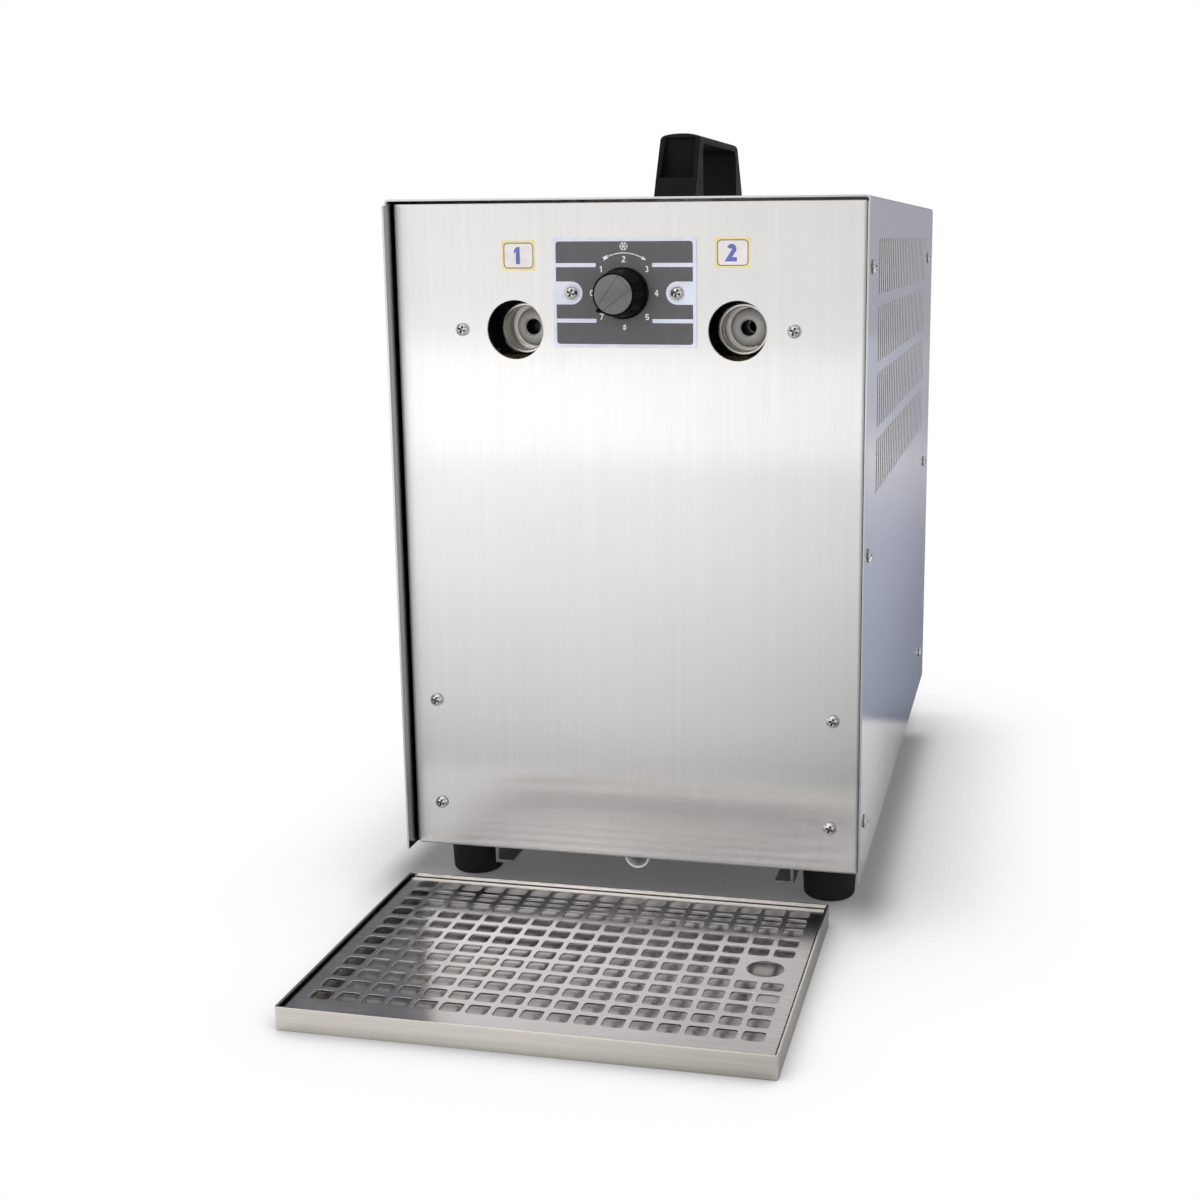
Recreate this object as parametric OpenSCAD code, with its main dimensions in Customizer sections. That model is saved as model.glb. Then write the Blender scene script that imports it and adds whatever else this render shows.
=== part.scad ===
// Dry beer line cooler with two tap ports, a thermostat dial and a loose drip tray.
// Millimetres, +Z up, the front faces -Y. The origin is the bottom centre of the whole part's box.

/* [Case] */
// Outside width of the wrap cover
case_w = 290; // [280:1:310]
// Depth of the wrap cover from its front edge to its rear edge
case_d = 498; // [486:1:540]
// Height of the wrap cover
case_h = 406; // [396:1:430]
// Sheet thickness of the wrap cover
cover_sheet = 1.2; // [0.9:0.1:1.6]
// Sheet thickness of the front and rear panels
panel_sheet = 1.2; // [0.9:0.1:1.6]
// Sheet thickness of the base pan
pan_sheet = 1.5; // [1:0.1:2]
// Outside radius of the bends in the sheet
bend_r = 2.6; // [2:0.1:4]
// Distance of the front panel behind the cover's front edge
front_recess = 12; // [9:0.5:16]
// Distance of the rear panel in front of the cover's rear edge
rear_recess = 6; // [4:0.5:10]

/* [Side vents] */
// Slots in one row of a side
slot_count = 30; // [20:1:31]
// Distance from slot to slot
slot_pitch = 12.5; // [11.5:0.1:12.6]
// Width of one slot
slot_w = 6.5; // [4:0.1:8]
// Height of one slot
slot_h = 32.8; // [28:0.1:35]
// Plain metal between two rows of slots
slot_row_gap = 7.1; // [5:0.1:9]

/* [Front fittings] */
// Distance of each tap port from the middle
port_x = 67.7; // [64:0.1:72]
// Height of the tap ports below the cover's top
port_drop = 76.6; // [74:0.1:82]
// Diameter of the tap holes in the front panel
port_hole_d = 35; // [33:0.1:37]
// Outside diameter of a tap socket
socket_d = 31.2; // [30:0.1:32]
// Thread diameter of a tap socket, drawn plain
socket_bore_d = 26.4; // [25.6:0.1:26.8]
// Distance of a tap socket's rim behind the front panel
socket_set_back = 20; // [17:0.5:24]
// Diameter of the ball nose in a tap socket
nose_d = 23.8; // [22:0.1:24.4]
// Bore of the beer way
beer_bore_d = 9.2; // [8:0.1:9.6]
// Width of the dial plate
dial_w = 87; // [82:1:92]
// Height of the dial plate
dial_h = 64; // [60:1:68]
// Thickness of the dial plate
dial_t = 0.8; // [0.5:0.1:1.2]
// Height of the knob's axis below the cover's top
dial_drop = 54.8; // [52:0.1:58]
// Diameter of the knob's skirt
knob_d = 30; // [27:0.5:33]
// Diameter of the knob's front face
knob_face_d = 24; // [21:0.5:26]
// Length of the knob
knob_l = 25.5; // [22:0.5:30]

/* [Handle] */
// Length of the carry handle
handle_l = 176; // [165:1:190]
// Width of the handle at its base
handle_w = 28; // [26.5:0.5:32]
// Width of the handle at its top
handle_top_w = 27; // [24:0.5:28]
// Height of the handle
handle_h = 45.5; // [42:0.5:50]
// Thickness of the grip
grip_t = 6.5; // [5.5:0.5:9]
// How far each end of the handle leans inward
handle_lean = 23; // [16:1:26]
// Distance of the handle's front behind the cover's front edge
handle_y = 146; // [135:1:160]

/* [Underside] */
// Height of the rubber feet
foot_h = 33; // [30:0.5:36]
// Diameter of a foot at its top
foot_d = 36; // [32:0.5:37]
// Distance of the feet's middles from the cover's sides
foot_inset = 26; // [24:0.5:29]
// Distance of the feet from the cover's front and rear edges
foot_y = 61; // [55:1:75]
// Distance of the runners' outer faces from the cover's sides
runner_inset = 46; // [45:0.5:51]
// Height of the runners
runner_h = 20; // [16:0.5:22]

/* [Drip tray] */
// Width of the drip tray
tray_w = 273; // [266:1:280]
// Depth of the drip tray
tray_d = 196; // [192:1:206]
// Height of the drip tray
tray_h = 13.5; // [12:0.5:16]
// Sideways place of the tray's middle
tray_x = -11; // [-12:0.5:12]
// How far the tray reaches under the case
tray_tuck = 9.5; // [0:0.5:12]
// Grille holes from left to right
grille_cols = 17; // [13:2:17]
// Grille holes from front to back
grille_rows = 12; // [8:2:12]
// Distance from hole to hole across
grille_pitch_x = 15; // [14:0.1:15.1]
// Distance from hole to hole in depth
grille_pitch_y = 14.6; // [14:0.1:14.9]
// Width of a grille hole
grille_hole_w = 12; // [10:0.1:12.4]
// Depth of a grille hole
grille_hole_d = 10.8; // [9:0.1:11.4]
// How far the grille's holes lie behind its middle
grille_shift = 6; // [0:0.5:6.5]
// Diameter of the finger hole
finger_d = 21.4; // [20:0.1:22]

/* [Cooling works] */
// Outside thickness of the foam round the cold block
foam_t = 24; // [20:0.5:28]
// Diameter of the compressor's can
can_d = 138; // [128:1:144]
// Height of the compressor's can
can_h = 168; // [150:1:190]
// Diameter of the fan
fan_d = 172; // [160:1:178]
// Outside diameter of the beer lines
line_d = 9.5; // [9:0.1:10]
// Length of the inlet stubs behind the rear panel
stub_l = 38; // [34:0.5:44]

/* [Hidden] */
$fn = 64;
running_gap = 0.4;
screw_gap = 0.3;
panel_gap = 0.8;
panel_top_gap = 1.5;
panel_low_gap = 1.3;
base_gap = 0.3;
lid_gap = 0.4;
head_r = 4.1;
head_h = 2.5;
shank_r = 2;
flange = 14;
rear_flange = 58;
front_lip = 40;
front_ear = 112;
side_lip = 20;
rear_lip = 24;

rear_reach = stub_l - rear_recess;
part_l = tray_d - tray_tuck + case_d + rear_reach;
case_front = tray_d - tray_tuck - part_l / 2;
half_w = case_w / 2;
foot_x = half_w - foot_inset;
runner_x = half_w - runner_inset;
top_z = foot_h + case_h;
roof_z = top_z - cover_sheet;
panel_x = half_w - cover_sheet - panel_gap;
panel_z0 = foot_h + panel_low_gap;
panel_z1 = roof_z - panel_top_gap;
panel_back = front_recess + panel_sheet;
rear_face = case_d - rear_recess;
rear_in = rear_face - panel_sheet;
pan_x = panel_x - panel_sheet - base_gap;
pan_y0 = panel_back + base_gap;
pan_y1 = rear_in - base_gap;
pan_top = foot_h + pan_sheet;
port_z = top_z - port_drop;
dial_z = top_z - dial_drop;
plate_face = front_recess - dial_t;
socket_y = front_recess + socket_set_back;
socket_l = 30;
bridge_y = socket_y + socket_l;
bridge_t = 2;
screw_low_z = foot_h + 28.8;
screw_mid_z = foot_h + 96.7;
screw_low_x = panel_x - 18;
screw_mid_x = panel_x - 17;
screw_top_x = port_x + 33.3;
plate_screw_x = 32;
slot_y0 = (case_d - (slot_count - 1) * slot_pitch - slot_w) / 2 - 8;
slot_z1 = top_z - 24;
side_screw_z = [foot_h + 33, foot_h + 198, top_z - 40];
side_screw_y = [front_recess + 6, case_d - 50];
foam_y0 = bridge_y + bridge_t + 12;
can_r = can_d / 2;
fin_y1 = rear_in - 8;
fin_y0 = fin_y1 - 26;
shroud_y = fin_y0 - 30;
strap_y = shroud_y - 46;
works_gap = 18;
strap_gap = 14.8;
can_seam = 2;
comp_y = strap_y - strap_gap - can_seam - can_r;
foam_y1 = comp_y - can_r - works_gap;
foam_x = 108;
foam_z1 = port_z - 28;
lid_z1 = foam_z1 + 13;
block_x = foam_x - foam_t;
block_y0 = foam_y0 + foam_t;
block_y1 = foam_y1 - foam_t;
block_z0 = pan_top + foam_t;
out_y = block_y0 + 14;
in_y = block_y1 - 14;
in_x = 34;
in_z = top_z - 34;
line_r = line_d / 2;
comp_z = pan_top + 12;
coil_z0 = pan_top + 26;
coil_pitch = 30;
coil_n = 8;
coil_inset = 41;
coil_x = half_w - coil_inset;
fin_pitch = 5.1;
fin_t = 0.8;
fin_last = floor((2 * coil_x - 3.9) / fin_pitch);
coil_y = (fin_y0 + fin_y1) / 2;
fan_z = coil_z0 + (coil_n - 1) * coil_pitch / 2;
fan_r = fan_d / 2;
rotor_y0 = shroud_y + 3;
plate_x = 86;
plate_y = 56;
grommet_x = plate_x - 10;
grommet_y = plate_y - 10;
pipe_x = 30;
pipe_y = 34;
tray_z = 1.2;
tray_rim = 1.2;
grille_gap = 1.3;
grille_z = tray_h - 2.5;
grille_t = 1.2;
edge_t = 1.2;
edge_gap = 0.3;
edge_z0 = tray_z + lid_gap;
edge_z1 = grille_z - grille_t - edge_gap;
grille_w = tray_w - 2 * tray_rim - 2 * grille_gap;
grille_d = tray_d - 2 * tray_rim - 2 * grille_gap;
finger_x = (grille_cols - 1) / 2 * grille_pitch_x - grille_pitch_x / 2;

function arc(cx, cy, r, a0, a1, n) =
  [for (i = [0:n]) let (a = a0 + (a1 - a0) * i / n) [cx + r * cos(a), cy + r * sin(a)]];
function rounded(x0, y0, x1, y1, r, n) = concat(
  arc(x1 - r, y1 - r, r, 0, 90, n), arc(x0 + r, y1 - r, r, 90, 180, n),
  arc(x0 + r, y0 + r, r, 180, 270, n), arc(x1 - r, y0 + r, r, 270, 360, n));
// A bent sheet in section: a web at the bottom and two flanges that rise to y = depth.
function channel(half, depth, t, r, n) = concat(
  [[-half, depth]], arc(-half + r, r, r, 180, 270, n), arc(half - r, r, r, 270, 360, n),
  [[half, depth], [half - t, depth]],
  arc(half - r, r, r - t, 360, 270, n), arc(-half + r, r, r - t, 270, 180, n), [[-half + t, depth]]);

module in_case() translate([0, case_front, 0]) children();
module box(x0, x1, y0, y1, z0, z1) translate([x0, y0, z0]) cube([x1 - x0, y1 - y0, z1 - z0]);
module xz(y0, y1) translate([0, y1, 0]) rotate([90, 0, 0]) linear_extrude(y1 - y0) children();
module yz(x0, x1) translate([x0, 0, 0]) rotate([90, 0, 90]) linear_extrude(x1 - x0) children();
module ycyl(x, z, r, y0, y1) translate([x, y0, z]) rotate([-90, 0, 0]) cylinder(h = y1 - y0, r = r);
module xcyl(y, z, r, x0, x1) translate([x0, y, z]) rotate([0, 90, 0]) cylinder(h = x1 - x0, r = r);
module zcyl(x, y, r, z0, z1) translate([x, y, z0]) cylinder(h = z1 - z0, r = r);
module yrev(x, y, z, pts) translate([x, y, z]) rotate([-90, 0, 0]) rotate_extrude() polygon(pts);
module zrev(x, y, z, pts) translate([x, y, z]) rotate_extrude() polygon(pts);
module both() { children(); mirror([1, 0, 0]) children(); }
module hex(x, y0, y1, z, across) translate([x, y0, z]) rotate([-90, 0, 0])
  cylinder(h = y1 - y0, r = across / sqrt(3), $fn = 6);

// A straight run between two points.
module rod(p, q, r) {
  d = q - p;
  l = norm(d);
  translate(p) rotate([0, acos(d[2] / l), atan2(d[1], d[0])]) cylinder(h = l, r = r);
}
// A pipe through a list of points with round elbows.
module run(pts, r) {
  for (i = [0:len(pts) - 2]) rod(pts[i], pts[i + 1], r);
  for (i = [1:len(pts) - 2]) translate(pts[i]) sphere(r = r);
}
// A quarter bend about an axis along X, from a run along Y to a run along Z.
module bend(x, y, z, radius, r, turn) translate([x, y, z]) rotate([0, 90, 0]) rotate([0, 0, turn])
  rotate_extrude(angle = 90) translate([radius, 0]) circle(r = r);

// A pan head screw that points along +Z, with its seat at z = 0 and a cross recess.
module pan_screw(l) difference() {
  union() {
    rotate_extrude() polygon(concat([[0, 0], [head_r, 0], [head_r, -0.9]],
      arc(0, 1.75, 4.6, -35, -68, 4), [[0, -head_h]]));
    translate([0, 0, -0.5]) cylinder(h = l + 0.5, r = shank_r);
  }
  for (a = [20, 110]) rotate(a) translate([-2.4, -0.6, -head_h - 1]) cube([4.8, 1.2, 2.4]);
}
module front_screw(x, z, y, l) translate([x, y, z]) rotate([-90, 0, 0]) pan_screw(l);

module base_pan() color("silver") in_case() difference() {
  union() {
    box(-pan_x, pan_x, pan_y0, pan_y1, foot_h, pan_top);
    box(-pan_x, pan_x, pan_y0, pan_y0 + pan_sheet, foot_h, foot_h + front_lip);
    both() box(pan_x - 30, pan_x, pan_y0, pan_y0 + pan_sheet, foot_h, foot_h + front_ear);
    both() box(pan_x - pan_sheet, pan_x, pan_y0, pan_y1, foot_h, foot_h + side_lip);
    box(-pan_x, pan_x, pan_y1 - pan_sheet, pan_y1, foot_h, foot_h + rear_lip);
  }
  both() {
    ycyl(screw_low_x, screw_low_z, shank_r + screw_gap, pan_y0 - 1, pan_y0 + pan_sheet + 1);
    ycyl(screw_mid_x, screw_mid_z, shank_r + screw_gap, pan_y0 - 1, pan_y0 + pan_sheet + 1);
    ycyl(90, foot_h + 14, shank_r + screw_gap, pan_y1 - pan_sheet - 1, pan_y1 + 1);
    for (y = [foot_y, case_d - foot_y]) zcyl(foot_x, y, shank_r + screw_gap, foot_h - 1, pan_top + 1);
  }
  zcyl(0, drain_y, 5 + screw_gap, foot_h - 1, pan_top + 1);
}

module front_panel() color("gainsboro") in_case() difference() {
  union() {
    translate([0, front_recess, panel_z0]) linear_extrude(panel_z1 - panel_z0)
      polygon(channel(panel_x, flange, panel_sheet, bend_r, 5));
    box(-panel_x + bend_r, panel_x - bend_r, panel_back - 0.2, front_recess + flange,
      panel_z1 - panel_sheet, panel_z1);
  }
  both() {
    ycyl(port_x, port_z, port_hole_d / 2, front_recess - 1, panel_back + 1);
    ycyl(screw_low_x, screw_low_z, shank_r + screw_gap, front_recess - 1, panel_back + 1);
    ycyl(screw_mid_x, screw_mid_z, shank_r + screw_gap, front_recess - 1, panel_back + 1);
    ycyl(screw_top_x, port_z, shank_r + screw_gap, front_recess - 1, panel_back + 1);
    ycyl(plate_screw_x, dial_z, shank_r + screw_gap, front_recess - 1, panel_back + 1);
  }
  ycyl(0, dial_z, 5, front_recess - 1, panel_back + 1);
  for (z = side_screw_z) xcyl(side_screw_y[0], z, shank_r + screw_gap, -half_w, half_w);
}

module wrap_cover() color("lightsteelblue") in_case() difference() {
  translate([0, 0, top_z]) mirror([0, 0, 1]) xz(0, case_d)
    polygon(channel(half_w, case_h, cover_sheet, bend_r, 5));
  for (i = [0:slot_count - 1], k = [0:3])
    box(-half_w - 1, half_w + 1, slot_y0 + i * slot_pitch, slot_y0 + i * slot_pitch + slot_w,
      slot_z1 - slot_h - k * (slot_h + slot_row_gap), slot_z1 - k * (slot_h + slot_row_gap));
  for (y = side_screw_y, z = side_screw_z) xcyl(y, z, shank_r + screw_gap, -half_w - 1, half_w + 1);
  both() box(half_w - bend_r - 1, half_w + 1, -1, 4, top_z - bend_r - 1, top_z + 1);
  for (y = handle_screw_y) zcyl(0, y, shank_r + screw_gap, roof_z - 1, top_z + 1);
}

module rear_panel() color("gainsboro") in_case() difference() {
  union() {
    translate([0, rear_face, panel_z0]) mirror([0, 1, 0]) linear_extrude(panel_z1 - panel_z0)
      polygon(channel(panel_x, rear_flange, panel_sheet, bend_r, 5));
    box(-panel_x + bend_r, panel_x - bend_r, rear_face - flange, rear_in + 0.2,
      panel_z1 - panel_sheet, panel_z1);
  }
  difference() {
    for (r = [16:12:fan_r - 4]) difference() {
      ycyl(0, fan_z, r + 7, rear_in - 1, rear_face + 1);
      ycyl(0, fan_z, r, rear_in - 2, rear_face + 2);
    }
    for (a = [45, 135]) translate([0, rear_face, fan_z]) rotate([0, a, 0])
      box(-fan_r - 10, fan_r + 10, -9, 9, -4.5, 4.5);
  }
  both() {
    ycyl(in_x, in_z, 8 + screw_gap, rear_in - 1, rear_face + 1);
    ycyl(90, foot_h + 14, shank_r + screw_gap, rear_in - 1, rear_face + 1);
  }
  ycyl(gland_x, gland_z, 8 + screw_gap, rear_in - 1, rear_face + 1);
  for (z = side_screw_z) xcyl(side_screw_y[1], z, shank_r + screw_gap, -half_w, half_w);
}
gland_x = -104;
gland_z = in_z;
drain_y = front_recess + 40;
handle_screw_y = [handle_y + 16, handle_y + handle_l - 16];
leg_t = 28;
leg_base = 16;
crown = 1.5;
crown_half = handle_top_w / 2 - 2.4;
crown_r = (crown_half * crown_half + crown * crown) / (2 * crown);
crown_a = acos(crown_half / crown_r);
lean_a = atan(handle_lean / handle_h);

// The handle: ends that lean inward, a crowned grip, and a pocket in each end over a solid base.
module carry_handle() color("dimgray") in_case() difference() {
  intersection() {
    yz(-handle_w, handle_w) difference() {
      polygon(concat([[handle_y + handle_l, top_z]],
        arc(handle_y + handle_l - handle_lean - 3.6, top_z + handle_h - 6, 6, lean_a, 90, 5),
        arc(handle_y + handle_lean + 3.6, top_z + handle_h - 6, 6, 90, 180 - lean_a, 5), [[handle_y, top_z]]));
      polygon(rounded(handle_y + leg_t, top_z - 20, handle_y + handle_l - leg_t,
        top_z + handle_h - grip_t, 6, 4));
    }
    xz(handle_y - 5, handle_y + handle_l + 5)
      polygon(concat([[handle_w / 2, top_z], [handle_w / 2, top_z + leg_base]],
        arc(crown_half - 3.5 * cos(crown_a), top_z + handle_h - crown - 3.5 * sin(crown_a), 3.5, 0, crown_a, 4),
        arc(0, top_z + handle_h - crown_r, crown_r, crown_a, 180 - crown_a, 8),
        arc(3.5 * cos(crown_a) - crown_half, top_z + handle_h - crown - 3.5 * sin(crown_a), 3.5,
          180 - crown_a, 180, 4),
        [[-handle_w / 2, top_z + leg_base], [-handle_w / 2, top_z]]));
  }
  for (y = [handle_y - 1, handle_y + handle_l - leg_t + 3])
    xz(y, y + leg_t - 2) polygon([[handle_w / 2 - 2.4, top_z + leg_base], [handle_top_w / 2 - 3.4, top_z + handle_h - 3],
      [3.4 - handle_top_w / 2, top_z + handle_h - 3], [2.4 - handle_w / 2, top_z + leg_base]]);
  for (y = handle_screw_y) {
    zcyl(0, y, shank_r + screw_gap, top_z - 1, top_z + leg_base);
    zcyl(0, y, head_r + screw_gap, top_z + leg_base - 4, top_z + leg_base + 1);
  }
}
module handle_screws() color("silver") in_case()
  for (y = handle_screw_y) translate([0, y, top_z + leg_base - 4]) rotate([180, 0, 0]) pan_screw(19);

module foot(x, y) color("black") in_case() difference() {
  zrev(x, y, 0, concat([[0, 0], [foot_d / 2 - 5, 0]],
    arc(foot_d / 2 - 4.5, 3, 3, -80, -5, 4), [[foot_d / 2, foot_h], [0, foot_h]]));
  zcyl(x, y, 7, -1, 10);
  zcyl(x, y, shank_r + screw_gap, 9, foot_h + 1);
}
module foot_front_left() foot(-foot_x, foot_y);
module foot_front_right() foot(foot_x, foot_y);
module foot_rear_left() foot(-foot_x, case_d - foot_y);
module foot_rear_right() foot(foot_x, case_d - foot_y);
module foot_screws() color("silver") in_case()
  both() for (y = [foot_y, case_d - foot_y]) translate([foot_x, y, 10]) pan_screw(pan_top - 4);

module runner_right() color("silver") in_case() difference() {
  box(runner_x - 12, runner_x, 38, case_d - 38, foot_h - runner_h, foot_h);
  box(runner_x - 13, runner_x - 2, 37, case_d - 37, foot_h - runner_h + 2, foot_h - 2);
}
module runner_left() mirror([1, 0, 0]) runner_right();

// The drain: a trough that hangs under the pan, with a tail through it.
module drain_spout() color("ivory") in_case() difference() {
  union() {
    intersection() {
      ycyl(0, foot_h - 3.8, 8, drain_y - 26, drain_y + 8);
      box(-9, 9, drain_y - 27, drain_y + 9, 0, foot_h);
    }
    zcyl(0, drain_y, 5, foot_h - 1, pan_top + 2);
  }
  intersection() {
    ycyl(0, foot_h - 3.8, 6.7, drain_y - 27, drain_y + 6);
    box(-9, 9, drain_y - 28, drain_y + 9, 0, foot_h - 1.3);
  }
  zcyl(0, drain_y, 3.6, foot_h - 8, pan_top + 3);
}

module front_panel_screws() color("silver") in_case() {
  for (s = [-1, 1]) {
    front_screw(s * screw_low_x, screw_low_z, front_recess, 9);
    front_screw(s * screw_mid_x, screw_mid_z, front_recess, 9);
    front_screw(s * screw_top_x, port_z, front_recess, 9);
  }
}
module cover_screws() color("silver") in_case() for (y = side_screw_y, z = side_screw_z) {
  translate([half_w, y, z]) rotate([0, -90, 0]) pan_screw(9);
  translate([-half_w, y, z]) rotate([0, 90, 0]) pan_screw(9);
}
module rear_panel_screws() color("silver") in_case() for (s = [-1, 1])
  translate([s * 90, rear_face, foot_h + 14]) rotate([90, 0, 0]) pan_screw(6);

module dial_plate() color("slategray") in_case() difference() {
  xz(plate_face, front_recess)
    polygon(rounded(-dial_w / 2, dial_z - dial_h / 2, dial_w / 2, dial_z + dial_h / 2, 2, 4));
  both() ycyl(plate_screw_x, dial_z, shank_r + screw_gap, plate_face - 1, front_recess + 1);
  ycyl(0, dial_z, 5, plate_face - 1, front_recess + 1);
}
module dial_plate_screws() color("silver") in_case()
  for (s = [-1, 1]) front_screw(s * plate_screw_x, dial_z, plate_face, 8);

module thermostat() color("ivory") in_case() difference() {
  union() {
    box(-39, 39, panel_back, panel_back + 2, dial_z - 9, dial_z + 9);
    box(-19, 19, panel_back + 1, panel_back + 34, dial_z - 18, dial_z + 18);
    ycyl(0, dial_z, 4.6, front_recess + 0.2, panel_back + 1);
  }
  both() ycyl(plate_screw_x, dial_z, shank_r + screw_gap, panel_back - 1, panel_back + 3);
  ycyl(0, dial_z, 3 + running_gap, front_recess - 1, panel_back + 12);
}
module thermostat_spindle() color("silver") in_case() ycyl(0, dial_z, 3, knob_y0 - 12, panel_back + 11);

knob_y0 = plate_face - running_gap;
knob_y1 = knob_y0 - knob_l;
// The knob's grip is drawn upright and then turned so that its nub points at the last number.
module knob() color("black") in_case() translate([0, knob_y0, dial_z]) rotate([0, 225, 0]) difference() {
  union() {
    rotate([90, 0, 0]) difference() {
      rotate_extrude() polygon([[0, 0], [knob_d / 2, 0], [knob_d / 2, 4], [knob_d / 2 - 0.8, 5.2],
        [knob_face_d / 2 + 0.7, knob_l - 2], [knob_face_d / 2, knob_l], [0, knob_l]]);
      for (a = [0:15:345]) rotate(a + 7.5) translate([knob_d / 2 + 1.1, 0, 5.5])
        rotate([0, -atan((knob_d - knob_face_d) / 2 / knob_l), 0]) cylinder(h = knob_l + 2, r = 1.5);
    }
    box(-1, 1, 0.4 - knob_l, -2, knob_face_d / 2 - 2, knob_face_d / 2 + 1.9);
  }
  ycyl(0, 0, knob_face_d / 2 - 0.6, -knob_l - 1, -knob_l + 1.2);
  ycyl(0, 0, 3.05, -12.2, 1);
}
module knob_cap() color("gray") in_case()
  ycyl(0, dial_z, knob_face_d / 2 - 0.8, knob_y1 + 0.2, knob_y1 + 1.2);

module port_bridge() color("silver") in_case() difference() {
  union() {
    both() {
      box(port_x + 25, port_x + 43, panel_back, panel_back + bridge_t, port_z - 14, port_z + 14);
      box(port_x + 25, port_x + 27, panel_back, bridge_y + bridge_t, port_z - 14, port_z + 14);
    }
    box(-port_x - 27, port_x + 27, bridge_y, bridge_y + bridge_t, port_z - 18, port_z + 18);
  }
  both() {
    ycyl(port_x, port_z, 9 + screw_gap, bridge_y - 1, bridge_y + bridge_t + 1);
    ycyl(screw_top_x, port_z, shank_r + screw_gap, panel_back - 1, panel_back + 3);
  }
}
module tap_socket(x) color("silver") in_case() difference() {
  union() {
    yrev(x, socket_y, port_z, [[0, 0], [socket_d / 2 - 0.8, 0], [socket_d / 2, 0.8],
      [socket_d / 2, socket_l], [0, socket_l]]);
    ycyl(x, port_z, 9, bridge_y - 1, bridge_y + 14);
  }
  yrev(x, socket_y, port_z, [[0, -1], [socket_bore_d / 2 + 1.5, -1], [socket_bore_d / 2, 0.6],
    [socket_bore_d / 2, 1.8], [socket_bore_d / 2 + 0.8, 2.2], [socket_bore_d / 2 + 0.8, 4], [0, 4]]);
  ycyl(x, port_z, socket_bore_d / 2, socket_y + 3, socket_y + 14);
  ycyl(x, port_z, socket_bore_d / 2 + 0.6, socket_y + 14, socket_y + 24);
  ycyl(x, port_z, 7 + screw_gap, socket_y + 23, bridge_y + 15);
}
module tap_socket_1() tap_socket(-port_x);
module tap_socket_2() tap_socket(port_x);
module socket_nut(x) color("silver") in_case() difference() {
  hex(x, bridge_y + bridge_t, bridge_y + bridge_t + 6, port_z, 27);
  ycyl(x, port_z, 9 + screw_gap, bridge_y, bridge_y + bridge_t + 7);
}
module socket_nut_1() socket_nut(-port_x);
module socket_nut_2() socket_nut(port_x);
module tap_nose(x) color("silver") in_case() difference() {
  union() {
    yrev(x, socket_y + 14.5, port_z, concat([[0, 0]], arc(nose_d / 2 - 8, 8, 8, -90, 0, 7),
      [[nose_d / 2, 9.5], [0, 9.5]]));
    ycyl(x, port_z, 7, socket_y + 23.6, bridge_y + 20);
  }
  ycyl(x, port_z, beer_bore_d / 2, socket_y, bridge_y + 21);
  yrev(x, socket_y + 14.5, port_z, [[0, -1], [beer_bore_d / 2 + 0.9, -1], [beer_bore_d / 2 + 0.9, 1.6],
    [beer_bore_d / 2, 2.2], [0, 2.2]]);
  ycyl(x, port_z, line_r + screw_gap, bridge_y + 10, bridge_y + 21);
}
module tap_nose_1() tap_nose(-port_x);
module tap_nose_2() tap_nose(port_x);

module outlet_line(x) color("silver") in_case() difference() {
  union() {
    ycyl(x, port_z, line_r, bridge_y + 10, out_y - 14);
    bend(x, out_y - 14, port_z - 14, 14, line_r, 90);
    zcyl(x, out_y, line_r, foam_z1 - 20, port_z - 14);
  }
  ycyl(x, port_z, line_r - 1, bridge_y + 9, out_y - 14);
  bend(x, out_y - 14, port_z - 14, 14, line_r - 1, 90);
  zcyl(x, out_y, line_r - 1, foam_z1 - 21, port_z - 14);
}
module outlet_line_1() outlet_line(-port_x);
module outlet_line_2() outlet_line(port_x);

module line_holes(z0, z1, r) {
  both() {
    zcyl(port_x, out_y, r, z0, z1);
    zcyl(in_x, in_y, r, z0, z1);
  }
  zcyl(0, in_y, 4 + screw_gap, z0, z1);
  zcyl(0, out_y, 3 + screw_gap, z0, z1);
}
module cold_block() color("gainsboro") in_case() difference() {
  box(-block_x + running_gap, block_x - running_gap, block_y0 + running_gap, block_y1 - running_gap,
    block_z0, foam_z1);
  line_holes(foam_z1 - 20, foam_z1 + 1, line_r + screw_gap);
}
module foam_box() color("khaki") in_case() difference() {
  box(-foam_x, foam_x, foam_y0, foam_y1, pan_top, foam_z1);
  box(-block_x, block_x, block_y0, block_y1, block_z0, foam_z1 + 1);
}
module foam_lid() color("khaki") in_case() difference() {
  box(-foam_x, foam_x, foam_y0, foam_y1, foam_z1, lid_z1);
  line_holes(foam_z1 - 1, lid_z1 + 1, line_r + screw_gap);
}

module inlet_line(x) color("silver") in_case() difference() {
  union() {
    ycyl(x, in_z, line_r, in_y + 14, rear_in - 14);
    bend(x, in_y + 14, in_z - 14, 14, line_r, 180);
    zcyl(x, in_y, line_r, foam_z1 - 20, in_z - 14);
  }
  ycyl(x, in_z, line_r - 1, in_y + 14, rear_in - 13);
  bend(x, in_y + 14, in_z - 14, 14, line_r - 1, 180);
  zcyl(x, in_y, line_r - 1, foam_z1 - 21, in_z - 14);
}
module inlet_line_1() inlet_line(-in_x);
module inlet_line_2() inlet_line(in_x);
module inlet_stub(x) color("silver") in_case() difference() {
  union() {
    ycyl(x, in_z, 8, rear_in - 20, rear_face);
    hex(x, rear_face, rear_face + 6, in_z, 24);
    ycyl(x, in_z, line_r, rear_face + 5, rear_face + stub_l);
  }
  ycyl(x, in_z, line_r - 1, rear_in - 21, rear_face + stub_l + 1);
  ycyl(x, in_z, line_r + screw_gap, rear_in - 21, rear_in - 14);
}
module inlet_stub_1() inlet_stub(-in_x);
module inlet_stub_2() inlet_stub(in_x);
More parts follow.
